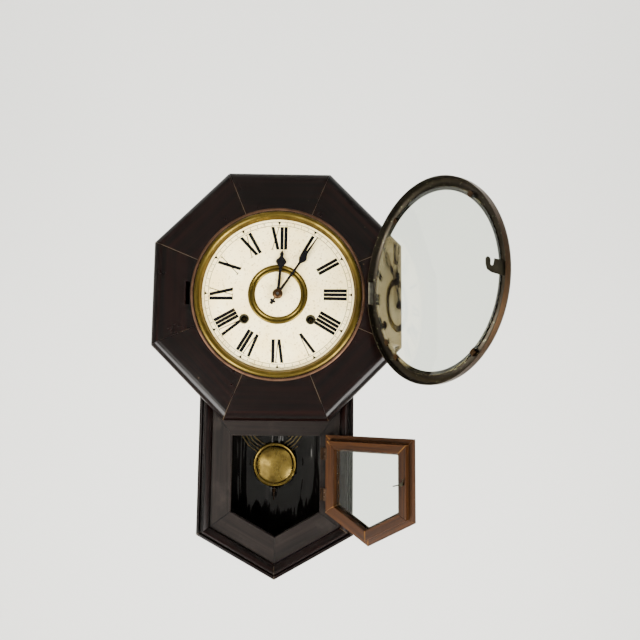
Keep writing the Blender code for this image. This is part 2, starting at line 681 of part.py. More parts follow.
def make_plates():
    """Front and back plates; the back plate carries four riveted pillars."""
    outline = [(-56 * MM, 66 * MM), (-30 * MM, 72 * MM), (30 * MM, 72 * MM), (56 * MM, 66 * MM),
               (60 * MM, 20 * MM), (64 * MM, -62 * MM), (-64 * MM, -62 * MM), (-60 * MM, 20 * MM)]
    corners = [(-48 * MM, 60 * MM), (48 * MM, 60 * MM), (58.5 * MM, -57 * MM),
               (-58.5 * MM, -57 * MM)]
    back = piece("movement_back_plate", slab(outline, BACK_PLATE, BACK_PLATE - PLATE), "old_brass")
    for index, corner in enumerate(corners):
        pillar = drum(3 * MM, BACK_PLATE - PLATE / 2, FRONT_END, corner, 12)
        combine(back, "UNION", tool(f"join_pillar_{index}", pillar))
    holes = [tool("cut_back_verge", drum(2.4 * MM, -20 * MM, -45 * MM, (0, PIVOT_TOP))),
             tool("cut_back_hammer", drum(2.4 * MM, -20 * MM, -45 * MM, HAMMER_AT))]
    combine(back, "DIFFERENCE", *holes)
    front = piece("movement_front_plate", slab(outline, FRONT_PLATE, FRONT_PLATE - PLATE),
                  "old_brass")
    holes = [tool("cut_front_centre", drum(2.6 * MM, -60 * MM, -80 * MM))]
    for side, name in ((1, "time"), (-1, "strike")):
        holes.append(tool(f"cut_front_{name}", drum(3.4 * MM, -60 * MM, -80 * MM,
                                                    (side * WINDING.x, WINDING.z))))
    combine(front, "DIFFERENCE", *holes)


def make_great_wheels():
    """Great wheel, spring collet and winding square on each winding arbor."""
    for side, name in ((1, "time"), (-1, "strike")):
        centre = (side * WINDING.x, WINDING.z)
        phase = meshed_phase(SECOND_PINION, SECOND_PINION_PHASE, SECOND_AT, GREAT[0], GREAT_AT)
        if side < 0:
            phase = pi - phase
        arbor = drum(2.6 * MM, REAR_END, -100.5 * MM, centre, 12)
        wheel = gear(*GREAT, centre, phase, -64 * MM, 1.8 * MM)
        collet = drum(5 * MM, -38 * MM, -60 * MM, centre, 12)
        with_arbor(f"{name}_great_wheel", "old_brass", arbor, (wheel, collet), centre)
        band = [(-0.5 * MM, -9 * MM), (0.5 * MM, -9 * MM), (0.5 * MM, 9 * MM),
                (-0.5 * MM, 9 * MM)]
        inner, outer = 8 * MM, 19.5 * MM
        spring = spiral_tube((centre[0], -49 * MM, centre[1]), inner, outer, 3, 0, band, 16)
        piece(f"{name}_mainspring", spring, "steel")


def make_train():
    """Second wheel, centre arbor, third wheel and escape wheel."""
    second = drum(1.4 * MM, REAR_END, FRONT_END, SECOND_AT, 10)
    parts = (gear(*SECOND, SECOND_AT, SECOND_PHASE, -58 * MM, 1.4 * MM),
             gear(SECOND_PINION, GREAT[1], SECOND_AT, SECOND_PINION_PHASE, -62.6 * MM, 4.6 * MM))
    with_arbor("time_second_wheel", "old_brass", second, parts, SECOND_AT)

    pinion_phase = meshed_phase(SECOND[0], SECOND_PHASE, SECOND_AT, CENTRE_PINION, CENTRE_AT)
    arbor = drum(1.6 * MM, REAR_END, -115 * MM, CENTRE_AT, 12)
    centre_phase = meshed_phase(THIRD_PINION, 0.0, THIRD_AT, CENTRE[0], CENTRE_AT)
    parts = (gear(*CENTRE, CENTRE_AT, centre_phase, -50 * MM, 1.4 * MM),
             gear(CENTRE_PINION, SECOND[1], CENTRE_AT, pinion_phase, -56.6 * MM, 4 * MM),
             gear(*CANNON, CENTRE_AT, 0.0, -73 * MM, 2.4 * MM))
    with_arbor("centre_arbor", "steel", arbor, parts, CENTRE_AT)

    third = drum(1.1 * MM, REAR_END, FRONT_END, THIRD_AT, 10)
    parts = (gear(*THIRD, THIRD_AT, THIRD_PHASE, -44 * MM, 1.2 * MM),
             gear(THIRD_PINION, CENTRE[1], THIRD_AT, 0.0, -48.8 * MM, 4 * MM))
    with_arbor("time_third_wheel", "old_brass", third, parts, THIRD_AT)

    pinion_phase = meshed_phase(THIRD[0], THIRD_PHASE, THIRD_AT, ESCAPE_PINION, ESCAPE_AT)
    escape = drum(0.9 * MM, REAR_END, FRONT_END, ESCAPE_AT, 10)
    ratchet = []
    for k in range(ESCAPE_TEETH):
        angle = 2 * pi * k / ESCAPE_TEETH
        for radius, lead in ((15 * MM, 0.35), (13 * MM, 0.0)):
            spot = angle + lead * 2 * pi / ESCAPE_TEETH
            ratchet.append((ESCAPE_AT[0] + radius * cos(spot), ESCAPE_AT[1] + radius * sin(spot)))
    parts = (slab(ratchet, -37 * MM, -38.2 * MM),
             gear(ESCAPE_PINION, THIRD[1], ESCAPE_AT, pinion_phase, -42.8 * MM, 4 * MM))
    with_arbor("escape_wheel", "old_brass", escape, parts, ESCAPE_AT)


def make_motion_work():
    """Minute wheel on its stud, and the hour wheel with the pipe that carries the hour hand."""
    minute_phase = meshed_phase(CANNON[0], 0.0, CENTRE_AT, MINUTE[0], MINUTE_AT)
    stud = drum(1.2 * MM, FRONT_PLATE - PLATE - GAP, -81 * MM, MINUTE_AT, 10)
    parts = (gear(*MINUTE, MINUTE_AT, minute_phase, -73.6 * MM, 1.2 * MM),
             gear(MINUTE_PINION, HOUR[1], MINUTE_AT, MINUTE_PINION_PHASE, -75.6 * MM, 4.6 * MM))
    with_arbor("minute_wheel", "old_brass", stud, parts, MINUTE_AT)

    hour_phase = meshed_phase(MINUTE_PINION, MINUTE_PINION_PHASE, MINUTE_AT, HOUR[0], CENTRE_AT)
    pipe = drum(3 * MM, -76.4 * MM, -110.6 * MM, CENTRE_AT, 12)
    hour = with_arbor("hour_wheel", "old_brass", pipe,
                      (gear(*HOUR, CENTRE_AT, hour_phase, -77.2 * MM, 1.4 * MM),), CENTRE_AT)
    combine(hour, "DIFFERENCE", tool("cut_hour_pipe", drum(2 * MM, -70 * MM, -116 * MM)))


# ---------------------------------------------------------------- pendulum, gong and hammer

def make_suspension_post():
    foot = piece("suspension_post", block((-9 * MM, BACK_PLATE + GAP + 2 * MM, 62 * MM),
                                          (9 * MM, BACK_PLATE + GAP, 70 * MM)), "old_brass")
    arm = tool("join_suspension_arm", block((-3 * MM, BACK_PLATE + GAP + 1 * MM, 62.5 * MM),
                                            (3 * MM, -18 * MM, 69 * MM)))
    combine(foot, "UNION", arm)


def make_pendulum():
    """Suspension spring, rod, two-wire stirrup, bob and rating nut, hung plumb and then leant."""
    bob_at = (0, PIVOT_TOP - BOB_DROP)
    stirrup = 4.3 * MM
    stirrup_top = -150 * MM
    rod = piece("pendulum_rod", block((-2 * MM, ROD_Y - 0.3 * MM, 40 * MM),
                                      (2 * MM, ROD_Y + 0.3 * MM, 61.6 * MM)), "steel")
    joins = [tool("join_rod", post(1.2 * MM, (0, ROD_Y, 41 * MM), (0, ROD_Y, stirrup_top), 10)),
             tool("join_crossbar", block((-5.5 * MM, ROD_Y - 1 * MM, stirrup_top - 2 * MM),
                                         (5.5 * MM, ROD_Y + 1 * MM, stirrup_top + 1 * MM)))]
    for side in (-1, 1):
        wire = post(0.8 * MM, (side * stirrup, ROD_Y, stirrup_top - 1 * MM),
                    (side * (stirrup + 0.6 * MM), ROD_Y, bob_at[1] + BOB_RADIUS - 0.1 * MM), 8)
        joins.append(tool(f"join_stirrup_{side + 1}", wire))
    combine(rod, "UNION", *joins)

    bulge = 6 * MM
    dome = [(BOB_RADIUS * share, ROD_Y - bulge * (1 - share * share) - 1 * MM)
            for share in (0, 0.3, 0.55, 0.75, 0.86)]
    rim = [(BOB_RADIUS * 0.88, ROD_Y - 1.3 * MM), (BOB_RADIUS * 0.92, ROD_Y - 2.4 * MM),
           (BOB_RADIUS, ROD_Y - 1.6 * MM), (BOB_RADIUS, ROD_Y + 1.6 * MM),
           (BOB_RADIUS * 0.6, ROD_Y + 4.5 * MM), (0, ROD_Y + 5.5 * MM)]
    bob = piece("pendulum_bob", turned(dome + rim, 28, bob_at), "bob_brass", smooth=True)
    for side in (-1, 1):
        seat = post(1.2 * MM, (side * (stirrup + 0.6 * MM), ROD_Y, bob_at[1] + BOB_RADIUS + 5 * MM),
                    (side * (stirrup + 0.6 * MM), ROD_Y, bob_at[1] + BOB_RADIUS - 2.6 * MM), 8)
        combine(bob, "DIFFERENCE", tool(f"cut_bob_seat_{side + 1}", seat))

    low = bob_at[1] - BOB_RADIUS - GAP
    nut = piece("rating_nut", post(1.2 * MM, (0, ROD_Y, low), (0, ROD_Y, low - 17 * MM), 10),
                "steel")
    knob = tool("join_rating_nut", post(3 * MM, (0, ROD_Y, low - 2 * MM), (0, ROD_Y, low - 6 * MM)))
    combine(nut, "UNION", knob)

    axis = Vector((0, ROD_Y, PIVOT_TOP))
    lean = pivot("pendulum_axis", axis, "Y", LEAN)
    for obj in (rod, bob, nut):
        hang(lean, obj, *[step.object for step in obj.modifiers])


def make_verge():
    """Pallet strip, verge arbor and crutch, on the pendulum's own axis."""
    y = -37.6 * MM
    verge = piece("verge", drum(1.2 * MM, -24.6 * MM, FRONT_END, (0, PIVOT_TOP), 10), "steel")
    joins = [tool("join_pallet_strip", block((-13 * MM, y - 1.5 * MM, PIVOT_TOP - 5 * MM),
                                             (13 * MM, y + 1.5 * MM, PIVOT_TOP + 0.5 * MM))),
             tool("join_crutch", block((-1 * MM, -26.8 * MM, 20 * MM),
                                       (1 * MM, -25 * MM, PIVOT_TOP + 0.4 * MM))),
             tool("join_crutch_bar", block((-3.6 * MM, -26.6 * MM, 20.2 * MM),
                                           (3.6 * MM, -25.2 * MM, 22 * MM)))]
    for side in (-1, 1):
        joins.append(tool(f"join_tine_{side + 1}",
                          block((side * 2.7 * MM - 0.7 * MM, -26.4 * MM, 20.4 * MM),
                                (side * 2.7 * MM + 0.7 * MM, -20 * MM, 21.8 * MM))))
        joins.append(tool(f"join_pallet_{side + 1}",
                          block((side * 12 * MM - 0.8 * MM, y - 1.4 * MM, PIVOT_TOP - 10 * MM),
                                (side * 12 * MM + 0.8 * MM, y + 1.4 * MM, PIVOT_TOP - 4 * MM))))
    combine(verge, "UNION", *joins)
    lean = pivot("verge_axis", (0, 0, PIVOT_TOP), "Y", LEAN)
    hang(lean, verge, *joins)


def make_gong():
    """Spiral gong wire and the cast base that holds it off the backboard."""
    ring = [(GONG_WIRE * cos(t), GONG_WIRE * sin(t)) for t in [2 * pi * i / 6 for i in range(6)]]
    coil = spiral_tube(GONG_CENTRE, GONG_INNER, GONG_OUTER, GONG_TURNS, radians(-45), ring, 20)
    piece("gong_coil", coil, "iron", smooth=True)
    back = -BACKBOARD - GAP
    base = piece("gong_base", block((-14 * MM, -14.6 * MM, -176 * MM), (-2 * MM, back, -164 * MM)),
                 "old_brass")
    bar = [(-40 * MM, -178 * MM), (-38 * MM, -187 * MM), (-33 * MM, -191 * MM),
           (-20 * MM, -184.5 * MM), (0, -184.5 * MM), (3 * MM, -187.5 * MM), (8 * MM, -188 * MM),
           (12 * MM, -184 * MM), (12 * MM, -178 * MM), (-2 * MM, -170 * MM), (-14 * MM, -170 * MM)]
    face = tool("join_gong_bar", slab(bar, -13.6 * MM, -17.6 * MM))
    combine(base, "UNION", face)


def make_hammer():
    """Hammer arbor, its long wire and the head beside the gong's outer turn."""
    x, z = HAMMER_AT
    head = Vector((-65.8 * MM, -14 * MM, -165 * MM))
    hammer = piece("strike_hammer", drum(1.4 * MM, -13.2 * MM, FRONT_END, HAMMER_AT, 10), "steel")
    joins = [tool("join_hammer_wire", post(1 * MM, (x, -14.2 * MM, z), head, 8)),
             tool("join_hammer_head", post(4.6 * MM, head - Vector((5.4 * MM, 0, 0)),
                                           head + Vector((5.4 * MM, 0, 0))))]
    combine(hammer, "UNION", *joins)
    move_origin(hammer, (x, 0, z))


def main():
    for obj in list(bpy.data.objects):
        bpy.data.objects.remove(obj, do_unlink=True)
    make_backboard()
    make_hanger()
    make_case_boards()
    make_octagon()
    make_drop_frame()
    make_drop_mouldings()
    make_dial()
    make_dial_surround()
    make_dial_centre_ring()
    make_hands()
    make_bezel()
    make_bezel_case_leaf()
    make_drop_door()
    make_case_leaves()
    make_plates()
    make_great_wheels()
    make_train()
    make_motion_work()
    make_suspension_post()
    make_pendulum()
    make_verge()
    make_gong()
    make_hammer()


main()
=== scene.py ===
# %% [markdown]
# # A pendulum wall clock with both doors open
# The clock has a black eight-sided front with a paper dial, and a small pointed
# box below it for the pendulum. Its working solids are loaded first, and every
# piece made here is fixed to one of their bodies, so it moves as they move.

import json
from math import cos, hypot, pi, radians, sin, sqrt

import bpy
import numpy as np
from mathutils import Matrix, Vector


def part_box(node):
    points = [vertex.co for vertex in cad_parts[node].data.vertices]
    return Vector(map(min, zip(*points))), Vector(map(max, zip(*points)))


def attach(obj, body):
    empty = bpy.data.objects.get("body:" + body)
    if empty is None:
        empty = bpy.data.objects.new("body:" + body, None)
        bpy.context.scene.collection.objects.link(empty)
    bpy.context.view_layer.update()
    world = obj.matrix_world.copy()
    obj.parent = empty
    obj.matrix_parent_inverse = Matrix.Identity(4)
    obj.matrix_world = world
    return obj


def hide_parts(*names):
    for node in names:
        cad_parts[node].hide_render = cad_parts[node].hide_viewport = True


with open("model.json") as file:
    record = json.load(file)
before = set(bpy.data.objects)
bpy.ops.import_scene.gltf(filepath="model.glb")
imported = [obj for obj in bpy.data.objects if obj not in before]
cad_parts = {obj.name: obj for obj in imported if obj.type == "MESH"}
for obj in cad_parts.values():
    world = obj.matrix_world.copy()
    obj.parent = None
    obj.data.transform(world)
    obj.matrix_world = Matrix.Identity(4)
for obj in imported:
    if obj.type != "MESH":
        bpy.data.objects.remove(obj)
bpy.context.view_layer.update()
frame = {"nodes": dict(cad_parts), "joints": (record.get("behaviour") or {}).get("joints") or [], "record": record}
MM = 0.001

# %% [markdown]
# ## Camera
# The view is from a little right of the middle, below the dial's height, and
# looks slightly up. A 36 mm lens on a 36 mm wide sensor gives 53 degrees.

# %% Camera
CAMERA_AT = Vector((0.0408, -0.9396, -0.1249))
TURN, TILT, ROLL = radians(-1.03), radians(6.27), radians(-0.56)

camera = bpy.data.objects.new("camera", bpy.data.cameras.new("camera"))
bpy.context.collection.objects.link(camera)
camera.data.lens = 36
camera.data.sensor_width = 36
aim = Matrix.Rotation(TURN, 3, "Z") @ Matrix.Rotation(TILT, 3, "X") @ Matrix.Rotation(ROLL, 3, "Y")
right, ahead, up = aim.col
camera.matrix_world = Matrix((right, up, -ahead)).transposed().to_4x4()
camera.location = CAMERA_AT
bpy.context.scene.camera = camera
print("camera looks along", tuple(round(x, 3) for x in ahead))

# %% [markdown]
# ## Floor, backdrop and light
# A pale floor runs back and curves up into a wall, as a roll of studio paper
# does. Two large soft lamps stand low in front, one at each side: they light the
# dial evenly and put long highlights on the rounded edges of the case. A small
# lamp near the pendulum gives the bob its glint, and two more light the backdrop.

# %% Floor and lights
PAPER_FRONT, PAPER_BACK, PAPER_FLOOR, PAPER_TOP = -2.4, 1.7, -2.7, 3.0
PAPER_WIDTH = 9.0
BEND_RADIUS, BEND_STEPS = 0.9, 24


def select_edge(sheet, front):
    """Selects the sheet's edge on its front side, or the one on its back side."""
    for vertex in sheet.data.vertices:
        vertex.select = (vertex.co.y < 0) == front
    for edge in sheet.data.edges:
        edge.select = all(sheet.data.vertices[i].select for i in edge.vertices)


bpy.ops.object.select_all(action="DESELECT")
bpy.ops.mesh.primitive_plane_add(size=1, location=(0, PAPER_BACK - 0.5, PAPER_FLOOR))
paper = bpy.context.object
paper.name = "studio_paper"
bpy.ops.object.mode_set(mode="EDIT")
bpy.ops.transform.resize(value=(PAPER_WIDTH, 1, 1))
bpy.ops.object.mode_set(mode="OBJECT")
select_edge(paper, front=False)
bpy.ops.object.mode_set(mode="EDIT")
bpy.ops.mesh.select_mode(type="EDGE")
bpy.ops.mesh.extrude_region_move(TRANSFORM_OT_translate={"value": (0, 0, PAPER_TOP - PAPER_FLOOR)})
bpy.ops.object.mode_set(mode="OBJECT")
select_edge(paper, front=True)
bpy.ops.object.mode_set(mode="EDIT")
bpy.ops.mesh.extrude_region_move(TRANSFORM_OT_translate={"value": (0, PAPER_FRONT - PAPER_BACK, 0)})
bpy.ops.object.mode_set(mode="OBJECT")
bend = paper.modifiers.new("bend", "BEVEL")
bend.width, bend.segments = BEND_RADIUS, BEND_STEPS
bpy.ops.object.modifier_apply(modifier="bend")
bpy.ops.object.shade_smooth()


def lamp(name, place, target, width, height, watts, colour=(1, 1, 1)):
    """A rectangular soft light that faces its target."""
    light = bpy.data.lights.new(name, "AREA")
    light.shape = "RECTANGLE"
    light.size, light.size_y, light.energy, light.color = width, height, watts, colour
    holder = bpy.data.objects.new(name, light)
    bpy.context.collection.objects.link(holder)
    holder.location = place
    holder.rotation_euler = (Vector(target) - Vector(place)).to_track_quat("-Z", "Y").to_euler()


WARM, WARMER, SKY = (1.0, 0.985, 0.96), (1.0, 0.97, 0.9), (0.93, 0.95, 1.0, 1)
SKY_STRENGTH = 0.1
CASE_MIDDLE, BOB_MIDDLE = (0, -0.1, -0.1), (0, -0.03, -0.23)
lamp("low_left", (-1.45, -1.4, -1.35), CASE_MIDDLE, 1.4, 1.1, 185, WARM)
lamp("low_right", (1.5, -1.4, -1.35), CASE_MIDDLE, 1.4, 1.1, 185, WARM)
lamp("small_left", (-0.42, -0.96, -0.27), BOB_MIDDLE, 0.26, 0.26, 4, WARMER)
for side, name in ((-1, "backdrop_left"), (1, "backdrop_right")):
    lamp(name, (side * 1.3, 0.2, 2.1), (side * 0.4, PAPER_BACK, -0.1), 1.6, 0.8, 18)

world = bpy.data.worlds.new("studio")
world.use_nodes = True
world.node_tree.nodes["Background"].inputs["Color"].default_value = SKY
world.node_tree.nodes["Background"].inputs["Strength"].default_value = SKY_STRENGTH
bpy.context.scene.world = world

# %% [markdown]
# ## Making materials
# Colours are written as the hex values a painter would match on screen, and one
# function turns them into the linear values that the renderer mixes. One more
# function adds a shader node with its settings and its links.

# %% Colour and node helpers
def linear(code):
    """#rrggbb as linear red, green, blue and alpha."""
    parts = [int(code[i:i + 2], 16) / 255 for i in (1, 3, 5)]
    return (*[p / 12.92 if p <= 0.04045 else ((p + 0.055) / 1.055) ** 2.4 for p in parts], 1.0)


def add(tree, kind, settings=None, links=None):
    """Adds a node. A setting or link is named for a property, a socket, or a socket's number."""
    node = tree.nodes.new("ShaderNode" + kind)
    for key, value in (settings or {}).items():
        if key == "stops":
            ramp = node.color_ramp.elements
            while len(ramp) < len(value):
                ramp.new(0.5)
            for stop, (place, code) in zip(ramp, value):
                stop.position, stop.color = place, linear(code)
        elif isinstance(key, str) and key.islower() and hasattr(node, key):
            setattr(node, key, value)
        else:
            node.inputs[key].default_value = value
    for key, source in (links or {}).items():
        output = source.outputs[0] if isinstance(source, bpy.types.Node) else source
        tree.links.new(output, node.inputs[key])
    return node


def new_material(name, **shader_settings):
    """A material with its Principled shader's constants set."""
    made = bpy.data.materials.new(name)
    made.use_nodes = True
    shader = made.node_tree.nodes["Principled BSDF"]
    for key, value in shader_settings.items():
        socket = shader.inputs[key.replace("_", " ")]
        socket.default_value = linear(value) if isinstance(value, str) else value
    return made, made.node_tree, shader


paper_white = new_material("studio_paper", Base_Color="#e2e2df", Roughness=0.9)[0]
paper.data.materials.append(paper_white)
print("first material:", paper_white.name)

# %% [markdown]
# ## Wood
# The case is softwood veneered in a fine dark timber, stained nearly black and
# shellacked, a finish called ebonising. The stain lets a little red through, and
# rubbed places turn grey. A pale line in the mitres is dust and also a painted
# highlight along the joints, golden on the mahogany door. All wood here is one
# recipe. The grain reads each board's own bench place, kept on its mesh as
# "bench", so it always runs along the board, and "joint" holds the distance to
# each cut end, so that the pale line sits in the joint.

# %% Wood recipe
def wood(name, dark, light, rubbed, dust_and_highlight, gloss, rubbed_share, pores=0.06, coat=0.15,
         specular=0.08):
    """Stained and polished wood. The figure is 5 mm wide and 160 mm long, the pores 0.6 mm wide."""
    made, tree, shader = new_material(name, Coat_Weight=coat, Coat_Roughness=0.18,
                                      Specular_IOR_Level=specular)
    bench = add(tree, "Attribute", {"attribute_name": "bench"})
    joint = add(tree, "Attribute", {"attribute_name": "joint"})
    stretch = add(tree, "Mapping", {"Scale": (6, 200, 200)}, {"Vector": bench.outputs["Vector"]})
    figure = add(tree, "TexNoise", {"Scale": 1.0, "Detail": 6.0, "Roughness": 0.62, "Distortion": 0.6},
                 {"Vector": stretch})
    tone = add(tree, "ValToRGB", {"stops": [(0.36, dark), (0.68, light)]}, {"Fac": figure})
    place = add(tree, "TexCoord")
    cloud = add(tree, "TexNoise", {"Scale": 26.0, "Detail": 7.0, "Roughness": 0.68},
                {"Vector": place.outputs["Object"]})
    rub = add(tree, "MapRange", {"From Min": 0.66 - rubbed_share, "From Max": 0.86 - rubbed_share},
              {"Value": cloud})
    worn = add(tree, "Mix", {"data_type": "RGBA", 7: linear(rubbed)}, {0: rub, 6: tone})
    fleck = add(tree, "TexVoronoi", {"Scale": 75.0, "Randomness": 1.0},
                {"Vector": place.outputs["Object"]})
    chip = add(tree, "MapRange", {"From Min": 0.10, "From Max": 0.055}, {"Value": fleck})
    rare = add(tree, "TexNoise", {"Scale": 41.0, "Detail": 2.0}, {"Vector": place.outputs["Object"]})
    rarely = add(tree, "MapRange", {"From Min": 0.60, "From Max": 0.66}, {"Value": rare})
    chips = add(tree, "Math", {"operation": "MULTIPLY"}, {0: chip, 1: rarely})
    chipped = add(tree, "Mix", {"data_type": "RGBA", 7: linear(dust_and_highlight)}, {0: chips, 6: worn.outputs[2]})
    ends = add(tree, "SeparateXYZ", links={"Vector": joint.outputs["Vector"]})
    nearest = add(tree, "Math", {"operation": "MINIMUM"}, {0: ends.outputs[0], 1: ends.outputs[1]})
    # The line along each joint: dust, and where its colour is pale, also a painted highlight along the mitre.
    line = add(tree, "MapRange", {"From Min": 0.9 * MM, "From Max": 0.35 * MM}, {"Value": nearest})
    broken = add(tree, "TexNoise", {"Scale": 60.0, "Detail": 4.0}, {"Vector": place.outputs["Object"]})
    broken_line = add(tree, "MapRange", {"From Min": 0.42, "From Max": 0.56}, {"Value": broken})
    dust_and_highlight_line = add(tree, "Math", {"operation": "MULTIPLY"}, {0: line, 1: broken_line})
    final = add(tree, "Mix", {"data_type": "RGBA", 7: linear(dust_and_highlight)}, {0: dust_and_highlight_line, 6: chipped.outputs[2]})
    tree.links.new(final.outputs[2], shader.inputs["Base Color"])
    fine = add(tree, "Mapping", {"Scale": (60, 1500, 1500)}, {"Vector": bench.outputs["Vector"]})
    pore = add(tree, "TexNoise", {"Scale": 1.0, "Detail": 3.0}, {"Vector": fine})
    rough = add(tree, "MapRange", {"From Min": 0.3, "From Max": 0.7, "To Min": gloss,
                                   "To Max": gloss + 0.1}, {"Value": cloud})
    tree.links.new(rough.outputs[0], shader.inputs["Roughness"])
    height = add(tree, "Math", {"operation": "ADD"}, {0: pore, 1: figure})
    bump = add(tree, "Bump", {"Strength": pores * 2.5, "Distance": 0.2 * MM}, {"Height": height})
    tree.links.new(bump.outputs[0], shader.inputs["Normal"])
    return made


# Each wood's joint-line colour is dust, and where pale it is also a painted highlight; on the mahogany door it is
# golden.
ebonised = wood("ebonised_shellacked_rosewood", "#010101", "#0f0504", "#0c0a08", "#33291e", 0.26, 0.02,
                coat=0.14, specular=0.03)
ebonised_matt = wood("ebonised_wood_worn_matt", "#0b0908", "#191412", "#221d1a", "#060505", 0.40, 0.08,
                     coat=0.02, specular=0.07)
mahogany = wood("bare_stained_mahogany", "#190d06", "#371f0b", "#21140b", "#5d3f1b", 0.36, 0.06,
                pores=0.10, coat=0.02, specular=0.04)
print("woods:", [m.name for m in (ebonised, ebonised_matt, mahogany)])

# %% [markdown]
# The backboard behind the pendulum is black lacquer brushed on thick, up and
# down. It shines, and the brush left long waves that break up the reflections.

# %% Lacquer
lacquer, tree, shader = new_material("brushed_black_lacquer", Base_Color="#0a0908", Roughness=0.2,
                                     Coat_Weight=0.3, Coat_Roughness=0.05,
                                     Specular_IOR_Level=0.03)
place = add(tree, "TexCoord")
down = add(tree, "Mapping", {"Scale": (48, 48, 7)}, {"Vector": place.outputs["Object"]})
waves = add(tree, "TexNoise", {"Scale": 1.0, "Detail": 2.0, "Distortion": 0.7}, {"Vector": down})
bump = add(tree, "Bump", {"Strength": 0.9, "Distance": 4 * MM}, {"Height": waves})
tree.links.new(bump.outputs[0], shader.inputs["Normal"])
tree.links.new(bump.outputs[0], shader.inputs["Coat Normal"])
print("lacquer:", lacquer.name)

# %% [markdown]
# ## Brass and other metals
# Brass that is never polished turns olive and then brown. The patina is a slow
# cloud from the brass colour to brown, with rougher metal where it is browner.
# The stains are 8 mm across on small pieces and up to 70 mm on the bezel. Small
# dark spots are about 2 mm wide, and a fine unevenness of 1 mm breaks the shine.

# %% Metals
CLEAN, STAINED = 0.35, 0.68


def metal(name, bright, dull, rough, cloud_scale, stretch=(1, 1, 1), spots="#1c140c", spot_share=0.0):
    """Tarnished metal: a bright and a dull colour in clouds, small spots, and a fine unevenness."""
    made, tree, shader = new_material(name, Metallic=1.0)
    place = add(tree, "TexCoord")
    pulled = add(tree, "Mapping", {"Scale": stretch}, {"Vector": place.outputs["Object"]})
    cloud = add(tree, "TexNoise", {"Scale": cloud_scale, "Detail": 7.0, "Roughness": 0.65},
                {"Vector": pulled})
    tone = add(tree, "ValToRGB", {"stops": [(CLEAN, bright), (STAINED, dull)]}, {"Fac": cloud})
    pit = add(tree, "TexNoise", {"Scale": 420.0, "Detail": 3.0}, {"Vector": place.outputs["Object"]})
    pitted = add(tree, "MapRange", {"From Min": 0.72 - spot_share, "From Max": 0.78 - spot_share},
                 {"Value": pit})
    spotted = add(tree, "Mix", {"data_type": "RGBA", 7: linear(spots)}, {0: pitted, 6: tone})
    tree.links.new(spotted.outputs[2], shader.inputs["Base Color"])
    rougher = add(tree, "MapRange", {"From Min": CLEAN, "From Max": STAINED, "To Min": rough,
                                     "To Max": rough + 0.2}, {"Value": cloud})
    tree.links.new(rougher.outputs[0], shader.inputs["Roughness"])
    close = add(tree, "Mapping", {"Scale": (900, 900, 900)}, {"Vector": place.outputs["Object"]})
    fine = add(tree, "TexNoise", {"Scale": 1.0, "Detail": 2.0}, {"Vector": close})
    bump = add(tree, "Bump", {"Strength": 0.12, "Distance": 0.1 * MM}, {"Height": fine})
    tree.links.new(bump.outputs[0], shader.inputs["Normal"])
    return made


olive_brass = metal("spun_olive_brass", "#57491f", "#382d12", 0.26, 22.0)
rim_brass = metal("brass_gone_pink_brown", "#563f31", "#33251b", 0.42, 40.0)
brown_brass = metal("brass_gone_brown", "#3d2c1c", "#281c12", 0.36, 16.0, stretch=(1, 1, 0.6),
                    spot_share=0.04)
inner_brass = metal("sheet_brass_gone_greenish_brown", "#322d26", "#1c1a14", 0.42, 14.0,
                    stretch=(1, 1, 0.5), spots="#8d9170", spot_share=0.05)
bob_brass = metal("half_polished_brass", "#7d6a35", "#42361a", 0.17, 34.0, spot_share=0.02)
hinge_brass = metal("dull_hinge_brass", "#a98a63", "#5e4a36", 0.45, 90.0)
hook_brass = metal("brass_gone_olive_grey", "#2b281f", "#1c1a14", 0.38, 60.0)
zinc = metal("dull_zinc", "#7d7a6f", "#4f4f4a", 0.50, 120.0)
# Painted shade: the movement's brass is made nearly black, as it stands in shade behind the dial and only shows
# dark through the winding holes.
movement_brass_painted_shade = metal("clock_brass_painted_dark_as_shade", "#3a301a", "#221b0f", 0.34, 30.0)
steel = metal("plain_dull_steel", "#565452", "#312f2d", 0.34, 60.0)
gong_steel = metal("golden_grey_gong_wire", "#5c5038", "#322b1e", 0.30, 60.0)
blued = metal("blued_steel", "#1f1e20", "#111012", 0.34, 60.0)
dark_brass = metal("hinge_brass_gone_dark_brown", "#2e231a", "#18110c", 0.42, 90.0)
print("metals:", [m.name for m in (olive_brass, rim_brass, brown_brass, inner_brass, bob_brass, zinc)])

# %% [markdown]
# ## Paper, ink and glass
# The dial is printed paper glued to a tin disc. It has gone cream, with tan
# foxing specks about 1 mm across. The ink is flat black. The panes are thin old
# window glass with a faint grey-green tint.

# %% Paper, ink, glass
dial_paper, tree, shader = new_material("aged_dial_paper", Roughness=0.62)
place = add(tree, "TexCoord")
cloud = add(tree, "TexNoise", {"Scale": 28.0, "Detail": 5.0}, {"Vector": place.outputs["Object"]})
cream = add(tree, "ValToRGB", {"stops": [(0.35, "#fcebb4"), (0.66, "#f3da98")]}, {"Fac": cloud})
speck = add(tree, "TexNoise", {"Scale": 420.0, "Detail": 3.0}, {"Vector": place.outputs["Object"]})
foxed = add(tree, "MapRange", {"From Min": 0.58, "From Max": 0.72, "To Max": 0.8}, {"Value": speck})
fox = add(tree, "Mix", {"data_type": "RGBA", 7: linear("#a98a55")}, {0: foxed, 6: cream})
stain = add(tree, "TexNoise", {"Scale": 95.0, "Detail": 4.0}, {"Vector": place.outputs["Object"]})
stained = add(tree, "MapRange", {"From Min": 0.66, "From Max": 0.76, "To Max": 0.5}, {"Value": stain})
aged = add(tree, "Mix", {"data_type": "RGBA", 7: linear("#cfae7c")}, {0: stained, 6: fox.outputs[2]})
tree.links.new(aged.outputs[2], shader.inputs["Base Color"])

black_ink, thin_ink = (
    new_material(name, Base_Color=code, Roughness=0.6, Specular_IOR_Level=0.05)[0]
    for name, code in (("black_printing_ink", "#050505"), ("thin_grey_ink_line", "#2a2823")))

